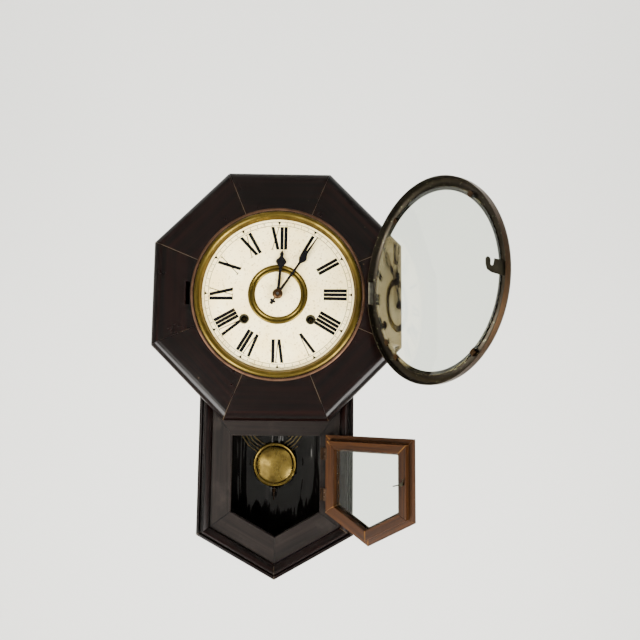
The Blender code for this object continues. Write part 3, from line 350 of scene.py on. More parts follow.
pane_glass, tree, shader = new_material("old_window_glass", Base_Color="#e2e8e1", Roughness=0.02,
                                        IOR=1.46, Transmission_Weight=1.0,
                                        Specular_IOR_Level=0.1)
place = add(tree, "TexCoord")
draw_lines = add(tree, "TexNoise", {"Scale": 14.0, "Detail": 1.0}, {"Vector": place.outputs["Object"]})
bump = add(tree, "Bump", {"Strength": 0.08, "Distance": 0.5 * MM}, {"Height": draw_lines})
tree.links.new(bump.outputs[0], shader.inputs["Normal"])
print("dial and panes:", [m.name for m in (dial_paper, black_ink, thin_ink, pane_glass)])

# %% [markdown]
# ## Ways of making a piece
# Flat pieces start as a plane shrunk to one corner, which is extruded from point
# to point like a pen line, filled and given its thickness. Round pieces spin
# such a line round an axis. Edges then get a small bevel, because no real edge
# is perfectly sharp, and the bevel is what catches the light.

# %% Modelling helpers
def only(piece):
    """Selects one piece and nothing else."""
    bpy.ops.object.select_all(action="DESELECT")
    piece.select_set(True)
    bpy.context.view_layer.objects.active = piece


def trace(name, points):
    """Draws a line of edges through the points, and stays in edit mode."""
    bpy.ops.object.select_all(action="DESELECT")
    bpy.ops.mesh.primitive_plane_add(size=MM)
    piece = bpy.context.object
    piece.name = piece.data.name = name
    bpy.ops.object.mode_set(mode="EDIT")
    bpy.ops.mesh.select_mode(type="VERT")
    bpy.ops.mesh.select_all(action="SELECT")
    bpy.ops.mesh.merge(type="CENTER")
    bpy.ops.transform.translate(value=points[0])
    for start, end in zip(points, points[1:]):
        bpy.ops.mesh.extrude_region_move(TRANSFORM_OT_translate={"value": end - start})
    bpy.ops.mesh.select_all(action="SELECT")
    bpy.ops.mesh.remove_doubles(threshold=1e-6)
    return piece


def slab(name, outline, depth):
    """A closed outline, filled and extruded by a vector."""
    points = [Vector(p) for p in outline]
    piece = trace(name, points + points[:1])
    bpy.ops.mesh.edge_face_add()
    bpy.ops.mesh.extrude_region_move(TRANSFORM_OT_translate={"value": Vector(depth)})
    bpy.ops.mesh.select_all(action="SELECT")
    bpy.ops.mesh.normals_make_consistent(inside=False)
    bpy.ops.object.mode_set(mode="OBJECT")
    return piece


def plate(name, outline, back, front):
    """A flat plate that faces the front, from an outline of (x, z)."""
    return slab(name, [(x, back, z) for x, z in outline], (0, front - back, 0))


def oblong(left, right, low, high):
    """The four corners of an upright rectangle."""
    return [(left, low), (right, low), (right, high), (left, high)]


def lathe(name, section, steps, ring=True):
    """A line of (radius, y) spun round the Y axis. A ring's line joins back to its start."""
    points = [Vector((radius, y, 0)) for radius, y in section]
    piece = trace(name, points + points[:1] if ring else points)
    bpy.ops.mesh.spin(steps=steps, angle=2 * pi, center=(0, 0, 0), axis=(0, 1, 0))
    bpy.ops.mesh.select_all(action="SELECT")
    bpy.ops.mesh.remove_doubles(threshold=1e-6)
    bpy.ops.mesh.normals_make_consistent(inside=False)
    bpy.ops.object.mode_set(mode="OBJECT")
    return piece


def soften(piece, width, segments=2, angle=35):
    """Bevels the edges sharper than the angle."""
    only(piece)
    edges = piece.modifiers.new("edges", "BEVEL")
    edges.width, edges.segments = width, segments
    edges.limit_method, edges.angle_limit = "ANGLE", radians(angle)
    bpy.ops.object.modifier_apply(modifier=edges.name)
    return piece


def smooth(piece, angle=40):
    """Smooth shading across shallow edges, led by the large faces."""
    only(piece)
    bpy.ops.object.shade_smooth_by_angle(angle=radians(angle))
    even = piece.modifiers.new("even", "WEIGHTED_NORMAL")
    even.keep_sharp = True
    bpy.ops.object.modifier_apply(modifier=even.name)
    return piece


def place_piece(piece, matrix):
    """Moves a piece and keeps its place in its mesh."""
    only(piece)
    piece.matrix_world = matrix
    bpy.ops.object.transform_apply(location=True, rotation=True, scale=True)
    return piece


def join(name, pieces):
    """Several shells as one piece."""
    bpy.ops.object.select_all(action="DESELECT")
    for piece in pieces:
        piece.select_set(True)
    bpy.context.view_layer.objects.active = pieces[0]
    bpy.ops.object.join()
    made = bpy.context.object
    made.name = made.data.name = name
    return made


def cut(piece, cutter):
    """Takes the cutter's shape out of the piece and throws the cutter away."""
    only(piece)
    hole = piece.modifiers.new("hole", "BOOLEAN")
    hole.operation, hole.solver, hole.object = "DIFFERENCE", "EXACT", cutter
    bpy.ops.object.modifier_apply(modifier=hole.name)
    bpy.data.objects.remove(cutter)
    return piece


def finish(piece, body, slot, material, *nodes):
    """Gives a piece its finish and its body, and says which solids it stands for."""
    piece.data.materials.clear()
    piece.data.materials.append(material)
    if nodes:
        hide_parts(*nodes)
    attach(piece, body)
    print(piece.name, len(piece.data.polygons), "faces on", body)
    return piece


def mark_grain(piece, along, across, start, cuts=(), shift=0.0):
    """Keeps each point's bench place: along the board, through it, and across it."""
    spots = np.empty(len(piece.data.vertices) * 3)
    piece.data.vertices.foreach_get("co", spots)
    spots = spots.reshape(-1, 3)
    axes = np.array([along, Vector(across).cross(Vector(along)), across], float)
    bench = piece.data.attributes.new("bench", "FLOAT_VECTOR", "POINT")
    bench.data.foreach_set("vector", ((spots - np.array(start)) @ axes.T + shift).ravel())
    depth = np.ones_like(spots)
    for column, (point, normal) in enumerate(cuts):
        depth[:, column] = (np.array(point) - spots) @ np.array(normal)
    joint = piece.data.attributes.new("joint", "FLOAT_VECTOR", "POINT")
    joint.data.foreach_set("vector", depth.ravel())
    return piece


def swing(point, degrees):
    """The turn round an upright hinge that stands at a point."""
    there = Matrix.Translation(Vector(point))
    return there @ Matrix.Rotation(radians(degrees), 4, "Z") @ there.inverted()


joint_at = {joint["name"]: Vector(joint["pos_m"]) for joint in frame["joints"]}
BEZEL_DEGREES, DOOR_DEGREES = 119.4, 147
BEZEL_OPEN = swing(joint_at["bezel_swing"], BEZEL_DEGREES)
DOOR_OPEN = swing(joint_at["drop_door_swing"], DOOR_DEGREES)
print("hinges:", joint_at["bezel_swing"], joint_at["drop_door_swing"])

# %% [markdown]
# ## A mitred rail
# Picture-frame rails share one section and are sawn at half the corner's angle.
# The section is drawn across the rail's line, pulled past both corners, and cut
# off there by a bisecting plane.

# %% Rails
SPARE, GRAIN_STEP, ROLL_STEPS = 60 * MM, 0.37, 12


def mitre(before, corner, after, towards):
    """The saw plane at a corner of an (x, z) outline, facing away from the towards side."""
    spot = Vector((corner[0], 0, corner[1]))
    first = (Vector((before[0], 0, before[1])) - spot).normalized()
    second = (Vector((after[0], 0, after[1])) - spot).normalized()
    normal = (first + second).cross(Vector((0, 1, 0))).normalized()
    keep = Vector((towards[0], 0, towards[1])) - spot
    return spot, -normal if normal.dot(keep) > 0 else normal


def rail(name, start, end, section, cuts, gap=0.08 * MM, edge=0.45 * MM, number=0, holes=()):
    """One rail: the section is (distance in from the line, y), on the left of start to end."""
    first = Vector((start[0], 0, start[1]))
    along = Vector((end[0], 0, end[1])) - first
    length, along = along.length, along.normalized()
    inward = Vector((-along.z, 0, along.x))
    outline = [first - along * SPARE + inward * u + Vector((0, y, 0)) for u, y in section]
    piece = slab(name, outline, along * (length + 2 * SPARE))
    only(piece)
    bpy.ops.object.mode_set(mode="EDIT")
    for point, normal in cuts:
        bpy.ops.mesh.select_all(action="SELECT")
        bpy.ops.mesh.bisect(plane_co=point - normal * gap, plane_no=normal, use_fill=True,
                            clear_outer=True)
    bpy.ops.mesh.select_all(action="SELECT")
    bpy.ops.mesh.normals_make_consistent(inside=False)
    bpy.ops.object.mode_set(mode="OBJECT")
    for middle, size in holes:
        bpy.ops.mesh.primitive_cube_add(size=1, location=middle, scale=size)
        cut(piece, bpy.context.object)
    soften(piece, edge)
    smooth(piece)
    return mark_grain(piece, along, inward, first, cuts, number * GRAIN_STEP)


def round_over(radius, back, steps):
    """A quarter round from the rail's outer face to its front, as (distance in, y)."""
    return [(radius * (1 - cos(t)), back - radius * sin(t))
            for t in (pi / 2 * i / steps for i in range(steps + 1))]


print("a 14 mm round-over has", len(round_over(14 * MM, 0, ROLL_STEPS)), "points")

# %% [markdown]
# ## The eight-sided front
# Eight rails 60 mm wide with a bold quarter round outside. The rail at nine
# o'clock has an upright slot that the bezel's hook drops into.

# %% Octagon
APOTHEM, FACE, OCTAGON_BACK = 165 * MM, -112 * MM, -88 * MM
ROLL_RADIUS, RAIL_WIDTH, REBATE_FLOOR, RAIL_INNER = 14 * MM, 60.5 * MM, -104.9 * MM, 75 * MM
SLOT_RAIL, SLOT_AT, SLOT_SIZE = 2, (-117.1 * MM, -109.3 * MM, 0), (5 * MM, 42 * MM, 30 * MM)
section = ([(0, OCTAGON_BACK)] + round_over(ROLL_RADIUS, FACE + ROLL_RADIUS, ROLL_STEPS)
           + [(RAIL_WIDTH, FACE), (RAIL_WIDTH, REBATE_FLOOR), (RAIL_INNER, REBATE_FLOOR),
              (RAIL_INNER, OCTAGON_BACK)])
reach = APOTHEM / cos(pi / 8)
corners = [(-reach * sin(pi / 4 * k - pi / 8), reach * cos(pi / 4 * k - pi / 8)) for k in range(-1, 10)]
for k in range(8):
    before, start, end, after = corners[k:k + 4]
    cuts = [mitre(before, start, end, end), mitre(start, end, after, start)]
    piece = rail(f"octagon_rail_{k + 1}_veneered", start, end, section, cuts, number=k,
                 holes=[(SLOT_AT, SLOT_SIZE)] if k == SLOT_RAIL else ())
    finish(piece, "case", "ebonised_wood", ebonised, f"octagon_rail_{k + 1}")

# %% [markdown]
# ## The drop
# Below the octagon hangs the drop: a flat frame with a pointed window, and a
# heavy moulding round it with a hollow and a raised ridge. The flat frame is five
# pieces mitred from corner to corner, and it has lost its shine.

# %% Drop outline
DROP_HALF, DROP_CORNER, SLOPE = 102 * MM, -312.5 * MM, 0.55
PANEL_FRONT, PANEL_BACK, PANEL_TOP = -84 * MM, -76 * MM, -150 * MM
MOULDING = 17.6 * MM


def pointed(half, top, corner, inset=0.0):
    """A five-sided outline with a pointed foot, drawn in evenly, anticlockwise from top right."""
    lean = hypot(1, SLOPE)
    tip = corner - SLOPE * half + inset * lean
    inner = half - inset
    side = tip + SLOPE * inner
    return [(inner, top - inset), (-inner, top - inset), (-inner, side), (0, tip), (inner, side)]


PANEL_GRAIN, PANEL_GRAIN_STEP = 4, 0.41
PANEL_INSET = MOULDING + 0.3 * MM
outer = pointed(DROP_HALF, PANEL_TOP + PANEL_INSET, DROP_CORNER, PANEL_INSET)
inner = pointed(58 * MM, -185 * MM, -283 * MM)
for k in range(5):
    m = (k + 1) % 5
    quad = [outer[k], outer[m], inner[m], inner[k]]
    piece = plate(f"drop_frame_{('top', 'left', 'lower_left', 'lower_right', 'right')[k]}", quad,
                  PANEL_BACK, PANEL_FRONT)
    soften(piece, 0.35 * MM)
    smooth(piece)
    start, end = Vector((outer[k][0], 0, outer[k][1])), Vector((outer[m][0], 0, outer[m][1]))
    along = (end - start).normalized()
    inward = Vector((-along.z, 0, along.x))
    cuts = []
    for spot, inside, other in ((outer[k], inner[k], end), (outer[m], inner[m], start)):
        spot, inside = Vector((spot[0], 0, spot[1])), Vector((inside[0], 0, inside[1]))
        normal = (inside - spot).cross(Vector((0, 1, 0))).normalized()
        cuts.append((spot, -normal if normal.dot(other - spot) > 0 else normal))
    mark_grain(piece, along, inward, start, cuts, PANEL_GRAIN + k * PANEL_GRAIN_STEP)
    finish(piece, "case", "ebonised_wood", ebonised_matt, *(["drop_front_frame"] if k == 0 else []))

# %% [markdown]
# The moulding's section, from outside in: a flat side, a small step, a groove, a
# raised ridge with a rounded top, and a slope down to the flat frame.

# %% Drop mouldings
def arch(start, end, rise, steps):
    """Points on a bead from one point of a section to another, standing forward by its rise."""
    return [(start[0] + (end[0] - start[0]) * i / steps,
             start[1] + (end[1] - start[1]) * i / steps - rise * sin(pi * i / steps))
            for i in range(steps + 1)]


section = ([(0, -60 * MM), (0, -82 * MM)]
           + arch((0.6 * MM, -83.6 * MM), (4.2 * MM, -84.6 * MM), 0.5 * MM, 4)
           + [(4.8 * MM, -81.7 * MM), (6.9 * MM, -81.7 * MM), (7.5 * MM, -88 * MM)]
           + arch((8.2 * MM, -91 * MM), (11.8 * MM, -91.3 * MM), 0.9 * MM, 5)
           + [(14.5 * MM, -89.6 * MM), (MOULDING, -86.5 * MM), (MOULDING, PANEL_BACK),
              (5.3 * MM, PANEL_BACK), (5.3 * MM, -60 * MM)])
foot = pointed(DROP_HALF, 0, DROP_CORNER)
right_top, left_top, left_low, tip, right_low = foot
edge_of_octagon = Vector((DROP_HALF, 0, DROP_HALF - APOTHEM * sqrt(2) - 0.5 * MM))
for side, name in ((-1, "left"), (1, "right")):
    top_cut = (Vector((side * edge_of_octagon.x, 0, edge_of_octagon.z)), Vector((-side, 0, 1)).normalized())
    if side < 0:
        side_line, low_line = (left_top, left_low), (left_low, tip)
        corner_cut = mitre(left_top, left_low, tip, left_top)
        low_cut = mitre(left_top, left_low, tip, tip)
    else:
        side_line, low_line = (right_low, right_top), (tip, right_low)
        corner_cut = mitre(tip, right_low, right_top, right_top)
        low_cut = mitre(tip, right_low, right_top, tip)
    middle_cut = (Vector((tip[0], 0, tip[1])), Vector((-side, 0, 0)))
    piece = rail(f"drop_moulding_{name}_side_run", *side_line, section, [corner_cut, top_cut],
                 edge=0.3 * MM, number=9 + side)
    finish(piece, "case", "ebonised_wood", ebonised, f"drop_moulding_{name}_side")
    piece = rail(f"drop_moulding_{name}_lower_run", *low_line, section, [low_cut, middle_cut],
                 edge=0.3 * MM, number=12 + side)
    finish(piece, "case", "ebonised_wood", ebonised, f"drop_moulding_{name}_lower")

# %% [markdown]
# ## Working solids with softened edges
# Boards, plates, wheels and springs already have their right shape as solids. A
# copy of each is merged into one skin, its flat faces are joined up, and its
# edges get a fine bevel, so it doesn't look cut from card.

# %% Copies of solids
def refine(node, body, slot, material, edge=0.25 * MM, grain=None, angle=35):
    """A softened copy of a solid, which it stands for."""
    data = frame["nodes"][node].data.copy()
    piece = bpy.data.objects.new(f"{node}_finished", data)
    data.name = piece.name
    bpy.context.collection.objects.link(piece)
    only(piece)
    bpy.ops.mesh.customdata_custom_splitnormals_clear()
    bpy.ops.object.mode_set(mode="EDIT")
    bpy.ops.mesh.select_all(action="SELECT")
    bpy.ops.mesh.remove_doubles(threshold=1e-6)
    bpy.ops.mesh.dissolve_limited(angle_limit=radians(0.5))
    bpy.ops.object.mode_set(mode="OBJECT")
    if edge:
        soften(piece, edge, angle=angle)
    smooth(piece, angle)
    if grain:
        mark_grain(piece, Vector(grain[0]), Vector(grain[1]), Vector((0, 0, 0)), (), grain[2])
    return finish(piece, body, slot, material, node)


UPRIGHT, LEVEL, ACROSS = (0, 0, 1), (1, 0, 0), (0, 1, 0)
refine("backboard", "case", "backboard_black", lacquer, 0.6 * MM)
refine("hanger_plate", "case", "steel", steel)
lower_left, lower_right = Vector((-1, 0, SLOPE)).normalized(), Vector((1, 0, SLOPE)).normalized()
for node, along, shift in (("case_top_board", LEVEL, 20.1), ("case_left_board", UPRIGHT, 21.3),
                           ("case_right_board", UPRIGHT, 22.7),
                           ("case_lower_left_board", lower_left, 23.9),
                           ("case_lower_right_board", lower_right, 25.2)):
    refine(node, "case", "ebonised_wood", ebonised_matt, 0.5 * MM, (along, ACROSS, shift))

# %% Movement, gong and small parts
bodies = frame["record"]["behaviour"]["bodies"]
body_of = {node: body for body, nodes in bodies.items() for node in nodes}
# The movement's wheels and plates take the brass painted nearly black as shade, since they sit behind the dial.
for node in ("movement_back_plate", "movement_front_plate", "time_great_wheel", "strike_great_wheel",
             "time_second_wheel", "time_third_wheel", "escape_wheel", "minute_wheel", "hour_wheel",
             "suspension_post", "gong_base"):
    refine(node, body_of[node], "old_brass", movement_brass_painted_shade, 0.12 * MM)
for node in ("centre_arbor", "time_mainspring", "strike_mainspring", "verge", "strike_hammer"):
    refine(node, body_of[node], "steel", steel, 0.1 * MM)
refine("gong_coil", "case", "iron", gong_steel, 0, angle=70)

# %% [markdown]
# ## Dial
# The plate itself stays as it is and gets the paper. The print lies on it 0.05 mm
# thick: two fine circles with sixty ticks, a small triangle at each five
# minutes, and Roman numerals that stand with their feet to the middle. Their
# strokes are either thick or thin, and drawn a little heavy, so that the thin
# ones still show against the bright paper.

# %% Minute track
dial_solid = frame["nodes"]["dial_plate"]
dial_solid.data.materials.clear()
dial_solid.data.materials.append(dial_paper)
DIAL_FACE = -106 * MM
INK_BACK, INK_FRONT = DIAL_FACE - 0.01 * MM, DIAL_FACE - 0.06 * MM
TRACK_OUT, TRACK_IN, LINE = 97.0 * MM, 92.0 * MM, 0.65 * MM
PRINT_PLACE = Matrix.Translation((0.7 * MM, 0, 0.3 * MM))


def around(piece, count):
    """Copies a piece round the dial with the spin tool."""
    only(piece)
    bpy.ops.object.mode_set(mode="EDIT")
    bpy.ops.mesh.select_all(action="SELECT")
    bpy.ops.mesh.spin(steps=count, dupli=True, angle=2 * pi, center=(0, 0, 0), axis=(0, 1, 0))
    bpy.ops.mesh.select_all(action="SELECT")
    bpy.ops.mesh.remove_doubles(threshold=5e-6)
    bpy.ops.object.mode_set(mode="OBJECT")
    return piece


lines = [lathe("track_circle", oblong(r - LINE / 2, r + LINE / 2, INK_BACK, INK_FRONT), 120)
         for r in (TRACK_OUT, TRACK_IN)]
tick = plate("tick", oblong(-LINE / 2, LINE / 2, TRACK_IN + LINE, TRACK_OUT - LINE), INK_BACK, INK_FRONT)
lines.append(around(tick, 60))
track = place_piece(join("printed_minute_track", lines), PRINT_PLACE)
finish(track, "case", "dial_paper", thin_ink)

MARK, MARK_HALF, MARK_LONG = 95.0 * MM, 2.5 * MM, 4.6 * MM
mark = plate("mark", [(-MARK_HALF, MARK + MARK_LONG / 2), (0, MARK - MARK_LONG / 2),
                      (MARK_HALF, MARK + MARK_LONG / 2)], INK_BACK - 0.06 * MM, INK_FRONT - 0.06 * MM)
marks = place_piece(around(mark, 12), PRINT_PLACE)
marks.name = marks.data.name = "printed_five_minute_marks"
finish(marks, "case", "dial_paper", black_ink)

# %% Numerals
HEAD, FOOT = 90.3 * MM, 59.5 * MM
THICK, HAIR, SERIF = 4.4 * MM, 1.1 * MM, 0.85 * MM
WIDTHS = {"I": THICK, "V": 11.4 * MM, "X": 11.8 * MM}
SPACES = {"IIII": 0.75 * MM, "I": 0.95 * MM, "V": 0.5 * MM, "X": 0.8 * MM}
HOURS = ["XII", "I", "II", "III", "IIII", "V", "VI", "VII", "VIII", "IX", "X", "XI"]
TAPER = 0.96
SERIF_HALF, HAIR_INSET, V_SHARE = 1.9 * MM, 0.6 * MM, 0.92
V_THICK_FOOT, V_HAIR_FOOT, X_HAIR_FOOT = 0.6 * MM, 1.6 * MM, 1 * MM


def at_hour(corners, turn):
    """Corners (along, out) of an upright numeral at twelve, turned to its hour."""
    return [(u * cos(turn) + v * sin(turn), v * cos(turn) - u * sin(turn)) for u, v in corners]


def stroke(head, foot, width, turn):
    """One stroke with level ends, from its middles at head and foot, turned to its hour."""
    corners = [(head - width / 2, HEAD), (head + width / 2, HEAD),
               (foot + width / 2, FOOT), (foot - width / 2, FOOT)]
    return plate("stroke", at_hour(corners, turn), INK_BACK, INK_FRONT)


def serif(middle, level, turn):
    """A short hair line across the end of a thin stroke."""
    corners = oblong(middle - SERIF_HALF, middle + SERIF_HALF, level - SERIF / 2, level + SERIF / 2)
    return plate("serif", at_hour(corners, turn), INK_BACK, INK_FRONT - 0.01 * MM)


def numeral(text, turn):
    """The strokes of a numeral, spaced about the hour's own line."""
    widths = [WIDTHS[letter] for letter in text]
    space = SPACES[text if text in SPACES else "V" if "V" in text else "X" if "X" in text else "I"]
    left = -(sum(widths) + space * (len(text) - 1)) / 2
    strokes = []
    for letter, width in zip(text, widths):
        low, high = left, left + width
        thick_head, hair_head = low + THICK / 2, high - HAIR / 2 - HAIR_INSET
        if letter == "I":
            middle = (low + high) / 2
            strokes.append(stroke(middle, middle * TAPER, THICK, turn))
        elif letter == "V":
            foot = (low + high) / 2 * TAPER
            strokes.append(stroke(thick_head, foot + V_THICK_FOOT, THICK * V_SHARE, turn))
            strokes.append(stroke(hair_head, foot + V_HAIR_FOOT, HAIR, turn))
            strokes.append(serif(hair_head - HAIR_INSET, HEAD - SERIF / 2, turn))
        else:
            thick_foot, hair_foot = (high - THICK / 2) * TAPER, (low + HAIR / 2) * TAPER + X_HAIR_FOOT
            strokes.append(stroke(thick_head, thick_foot, THICK, turn))
            strokes.append(stroke(hair_head, hair_foot, HAIR, turn))
            strokes.append(serif(hair_head - HAIR_INSET, HEAD - SERIF / 2, turn))
            strokes.append(serif(hair_foot, FOOT + SERIF / 2, turn))
        left = high + space
    return strokes


ink = [shape for hour, text in enumerate(HOURS) for shape in numeral(text, hour * pi / 6)]
numerals = place_piece(join("printed_hour_numerals", ink), PRINT_PLACE)
finish(numerals, "case", "dial_paper", black_ink)

# %% [markdown]
# ## Brass round the dial
# The surround is spun as two rings: a wide rounded band with a lip that holds the
# paper down, and outside it, past a groove, a thin pinkish flange. The ring round
# the middle has two beads. Each winding hole has a small turned grommet.

# %% Surround, centre ring, grommets
band = ([(109.9 * MM, -112.6 * MM)]
        + arch((109.6 * MM, -113.6 * MM), (102.6 * MM, -112.9 * MM), 2.0 * MM, 12)
        + arch((101.9 * MM, -111.0 * MM), (100.1 * MM, -107.2 * MM), -0.2 * MM, 4)
        + [(100.0 * MM, -106.3 * MM), (103.0 * MM, -106.3 * MM), (104.2 * MM, -108 * MM),
           (104.2 * MM, -112.3 * MM), (109.9 * MM, -112.3 * MM)])
SURROUND_PLACE = Matrix.Translation((0.5 * MM, 0, 0.3 * MM))
surround = place_piece(lathe("dial_surround_band", band, 128), SURROUND_PLACE)
finish(smooth(surround, 50), "case", "old_brass", olive_brass, "dial_surround")
flange = lathe("dial_surround_flange",
               [(110.7 * MM, -112.3 * MM), (110.7 * MM, -113.1 * MM)]
               + arch((111.0 * MM, -113.2 * MM), (113.8 * MM, -112.9 * MM), 0.35 * MM, 6)
               + [(114.2 * MM, -112.3 * MM)], 128)
place_piece(flange, SURROUND_PLACE)
finish(smooth(flange, 50), "case", "old_brass", rim_brass)

BASE, BEAD_RISE = DIAL_FACE - 0.3 * MM, 1.1 * MM
BEAD_FOOT = BASE - 0.4 * MM
beads = ([(30.0 * MM, BASE)] + arch((30.2 * MM, BEAD_FOOT), (34.2 * MM, BEAD_FOOT), BEAD_RISE, 8)
         + [(34.3 * MM, BASE - 0.05 * MM), (35.0 * MM, BASE - 0.05 * MM)]
         + arch((35.1 * MM, BEAD_FOOT), (39.2 * MM, BEAD_FOOT), BEAD_RISE, 8) + [(39.4 * MM, BASE)])
finish(smooth(lathe("dial_centre_ring_beads", beads, 96), 60), "case", "old_brass", olive_brass,
       "dial_centre_ring")

grommet_brass = metal("dark_grommet_brass", "#3d3a2c", "#191713", 0.35, 120.0)
HOLE, SLEEVE_BACK, FLANGE = 5 * MM, DIAL_FACE + 2 * MM, DIAL_FACE - 0.1 * MM
ring = ([(HOLE - 0.9 * MM, SLEEVE_BACK)]
        + arch((HOLE - 0.9 * MM, DIAL_FACE - 0.6 * MM), (HOLE + 1.6 * MM, FLANGE), 0.9 * MM, 6)
        + [(HOLE + 0.2 * MM, FLANGE), (HOLE + 0.2 * MM, SLEEVE_BACK)])
for name in ("time", "strike"):
    low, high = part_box(f"winding_grommet_{name}")
    centre = (low + high) / 2
    grommet = place_piece(lathe(f"grommet_{name}_turned", ring, 32),
                          Matrix.Translation((centre.x, 0, centre.z)))
    finish(smooth(grommet, 50), "case", "old_brass", grommet_brass, f"winding_grommet_{name}")

# %% [markdown]
# ## Hands
# The hands are stamped from thin steel and blued nearly black. Each swells to a
# rounded spade part of the way up. Half an outline is drawn and mirrored to the
# other side, and a fine bevel catches the light. A domed brass nut holds them.

# %% Hands and nut
def hand(name, node, body, right, turn, back, front, boss, hole):
    """A hand from the right half of its outline, given upright in mm."""
    outline = [(x * MM, z * MM) for x, z in right]
    outline += [(-x, z) for x, z in reversed(outline) if x > 0]
    piece = plate(name, outline, back, front)
    disc = lathe("hub", oblong(hole, boss, back, front), 32)
    piece = join(name, [piece, disc])
    soften(piece, 0.16 * MM)
    place_piece(piece, Matrix.Rotation(radians(turn), 4, "Y"))
    return finish(smooth(piece), body, "blued_steel", blued, node)


MINUTE_TURN, HOUR_TURN = 34.3, 5.0
hour_half = [(0, 4.0), (2.6, 5.0), (1.9, 12), (1.8, 28), (2.0, 36.5), (3.6, 38), (5.6, 40), (6.9, 42.5),
             (7.0, 44), (6.0, 46), (4.0, 48), (2.3, 50), (1.9, 51.2), (2.6, 52.6), (2.8, 54), (2.0, 55.3),
             (1.2, 56.6), (0.7, 58), (0, 59)]
minute_half = [(0, -16.2), (1.6, -16), (2.6, -14.7), (2.2, -13.3), (1.2, -12.6), (2.3, -12.9), (3.5, -12.4),
               (4, -11.1), (3.4, -9.8), (2.2, -9.4), (1.2, -9.8), (1, -8.5), (1.5, -5), (1.9, 5), (1.7, 20),
               (1.5, 46), (1.8, 50.5), (3.0, 52.2), (4.7, 55), (5.3, 57.5), (4.9, 59.5), (3.4, 62),
               (2.1, 64.5), (1.6, 69), (1.0, 84), (0.7, 91.6), (0.4, 92), (0, 92)]
hand("hour_hand_blued", "hour_hand", "hour_pipe", hour_half, HOUR_TURN, -108.6 * MM, -109.4 * MM,
     6.0 * MM, 3.3 * MM)
hand("minute_hand_blued", "minute_hand", "minute_arbor", minute_half, MINUTE_TURN, -111.4 * MM,
     -112.2 * MM, 4.8 * MM, 1.9 * MM)
nut = lathe("hand_nut_domed",
            [(1.9 * MM, -112.5 * MM), (6.8 * MM, -112.5 * MM), (6.8 * MM, -113.2 * MM)]
            + arch((6.3 * MM, -113.9 * MM), (2.8 * MM, -115.3 * MM), 0.5 * MM, 6)
            + [(1.9 * MM, -115.4 * MM)], 40)
finish(smooth(nut, 45), "minute_arbor", "old_brass", brown_brass, "hand_nut")

# %% [markdown]
# ## Bezel
# The bezel is a ring of thin sheet brass rolled to a hollow bead, seen here from
# behind because it stands open. The ring, its pane and the clips are made closed
# and then swung about the hinge. The hook and hinge are copies of their solids.

# %% Bezel
outside = ([(118.0, -112.4), (118.0, -118.4), (117.4, -120.6), (115.9, -122.6), (113.8, -124.1),
            (111.5, -124.6), (109.2, -124.3), (106.6, -123.2), (104.4, -121.6), (102.7, -120.4)])
inside = [(103.3, -120.1), (105.0, -120.9), (106.9, -122.0), (109.2, -123.0), (111.5, -123.4),
          (113.4, -122.9), (115.2, -121.8), (116.4, -120.2), (117.0, -118.3), (117.0, -112.4)]
ring = lathe("bezel_ring_rolled", [(r * MM, y * MM) for r, y in outside + inside], 160)
LEAF_GAP_AT, LEAF_GAP = (119.2 * MM, -115.1 * MM, 0), (11.4 * MM, 10.2 * MM, 28.6 * MM)
bpy.ops.mesh.primitive_cube_add(size=1, location=LEAF_GAP_AT, scale=LEAF_GAP)
cut(ring, bpy.context.object)
TURNED_BACK, TURNED_IN = 0.05, -0.9
hollow = []
for face in ring.data.polygons:
    outward = Vector((face.center.x, 0, face.center.z)).normalized()
    hollow.append(int(face.normal.y > TURNED_BACK or face.normal.dot(outward) < TURNED_IN))
place_piece(ring, BEZEL_OPEN)
finish(ring, "bezel", "old_brass", brown_brass, "bezel_ring")
ring.data.materials.append(inner_brass)
ring.data.polygons.foreach_set("material_index", hollow)
smooth(ring, 50)

pane = lathe("bezel_pane", [(0, -117.8 * MM), (106.6 * MM, -117.8 * MM), (107 * MM, -118.2 * MM),
                            (107 * MM, -119.4 * MM), (106.6 * MM, -119.8 * MM), (0, -119.8 * MM)],
             128, ring=False)
place_piece(pane, BEZEL_OPEN)
finish(smooth(pane), "bezel", "glass", pane_glass, "bezel_glass")

# %% Bezel hinge and hook
for node, finish_here in (("bezel_hinge_door_leaf", zinc), ("bezel_hinge_case_leaf", hinge_brass),
                          ("bezel_latch_hook", hook_brass)):
    refine(node, body_of[node], "old_brass", finish_here, 0.2 * MM)
CLIP_DEGREES, CLIP_HALF = (52, -38, -52, 128, -128), 3.5 * MM
for turn in CLIP_DEGREES:
    clip_at = Matrix.Rotation(radians(-turn), 4, "Y")
    clip = plate("clip", oblong(103.5 * MM, 109.5 * MM, -CLIP_HALF, CLIP_HALF), -117.7 * MM, -117.1 * MM)
    tab = plate("tab", oblong(109.1 * MM, 109.7 * MM, -CLIP_HALF, CLIP_HALF), -117.4 * MM, -122.3 * MM)
    clip = join(f"bezel_glass_clip_{turn % 360}", [clip, tab])
    soften(clip, 0.15 * MM)
    place_piece(clip, BEZEL_OPEN @ clip_at)
    finish(smooth(clip), "bezel", "old_brass", brown_brass)

# %% [markdown]
# ## Pendulum door
# Five mitred rails of bare, stained mahogany, seen from the back: an overlapping
# lip, and a raised inner frame that fits the opening. The pane sits in a rebate
# from the other side. It is made closed and then swung open.

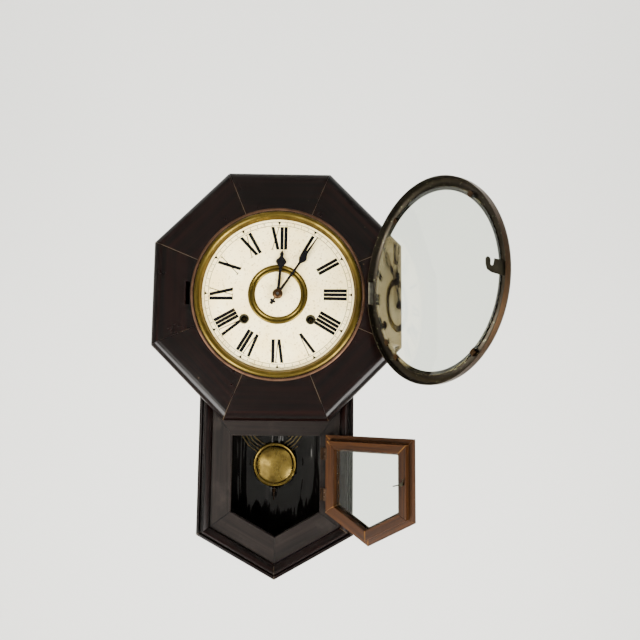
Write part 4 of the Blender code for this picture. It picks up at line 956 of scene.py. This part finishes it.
# %% Door
door = pointed(62.6 * MM, -182.8 * MM, -282.2 * MM)
section = [(0, -91.0 * MM), (0.8 * MM, -91.5 * MM), (20 * MM, -91.5 * MM), (20 * MM, -88 * MM),
           (17.5 * MM, -88 * MM), (17.5 * MM, -78 * MM), (7 * MM, -78 * MM), (7 * MM, -86.5 * MM),
           (0, -86.5 * MM)]
names = ("top", "free_stile", "lower_free", "lower_hinged", "hinged_stile")
for k in range(5):
    before, start, end, after = (door[(k + i) % 5] for i in (-1, 0, 1, 2))
    cuts = [mitre(before, start, end, end), mitre(start, end, after, start)]
    piece = rail(f"door_rail_{names[k]}", start, end, section, cuts, edge=0.35 * MM, number=30 + k)
    place_piece(piece, DOOR_OPEN)
    finish(piece, "drop_door", "bare_wood", mahogany, *(["drop_door_frame"] if k == 0 else []))
refine("drop_door_glass", "drop_door", "glass", pane_glass, 0.2 * MM)
for node in ("drop_hinge_upper_case_leaf", "drop_hinge_upper_door_leaf", "drop_hinge_lower_case_leaf",
             "drop_hinge_lower_door_leaf"):
    refine(node, body_of[node], "old_brass", dark_brass, 0.12 * MM)
refine("drop_door_hook", "door_hook", "steel", hook_brass, 0.15 * MM)

# %% [markdown]
# ## Pendulum
# A flat spring and wire carry a two-wire stirrup and a hollow brass bob, domed in
# front with a groove near its rim. A nut under it sets the rate.

# %% Pendulum
PIVOT_UP, BOB_BELOW, LEAN_DEGREES = 57, 286, 0.82
pivot = Matrix.Translation((0, 0, PIVOT_UP * MM))
LEAN = pivot @ Matrix.Rotation(radians(LEAN_DEGREES), 4, "Y") @ pivot.inverted()
ROD_Y, BOB_Z, BOB_RADIUS = -22 * MM, (PIVOT_UP - BOB_BELOW) * MM, 31 * MM
DOME_SHARE, DOME_STEPS, DOME_RISE = 0.84, 14, 6 * MM
shares = [DOME_SHARE * i / DOME_STEPS for i in range(DOME_STEPS + 1)]
dome = [(BOB_RADIUS * share, ROD_Y - 1 * MM - DOME_RISE * (1 - share ** 2)) for share in shares]
groove = [(BOB_RADIUS * 0.862, ROD_Y - 1.7 * MM), (BOB_RADIUS * 0.885, ROD_Y - 1.7 * MM)]
rim = arch((BOB_RADIUS * 0.905, ROD_Y - 2.5 * MM), (BOB_RADIUS, ROD_Y - 1.2 * MM), 0.5 * MM, 6)
shell = [(BOB_RADIUS, ROD_Y + 1.4 * MM), (BOB_RADIUS * 0.93, ROD_Y + 2.6 * MM),
         (BOB_RADIUS * 0.6, ROD_Y + 4.5 * MM), (0, ROD_Y + 5.5 * MM)]
bob = lathe("pendulum_bob_spun", dome + groove + rim + shell, 96, ring=False)
place_piece(bob, LEAN @ Matrix.Translation((0, 0, BOB_Z)))
finish(smooth(bob, 50), "pendulum", "bob_brass", bob_brass, "pendulum_bob")
refine("pendulum_rod", "pendulum", "steel", steel, 0.08 * MM)
refine("rating_nut", "pendulum", "steel", dark_brass, 0.15 * MM)
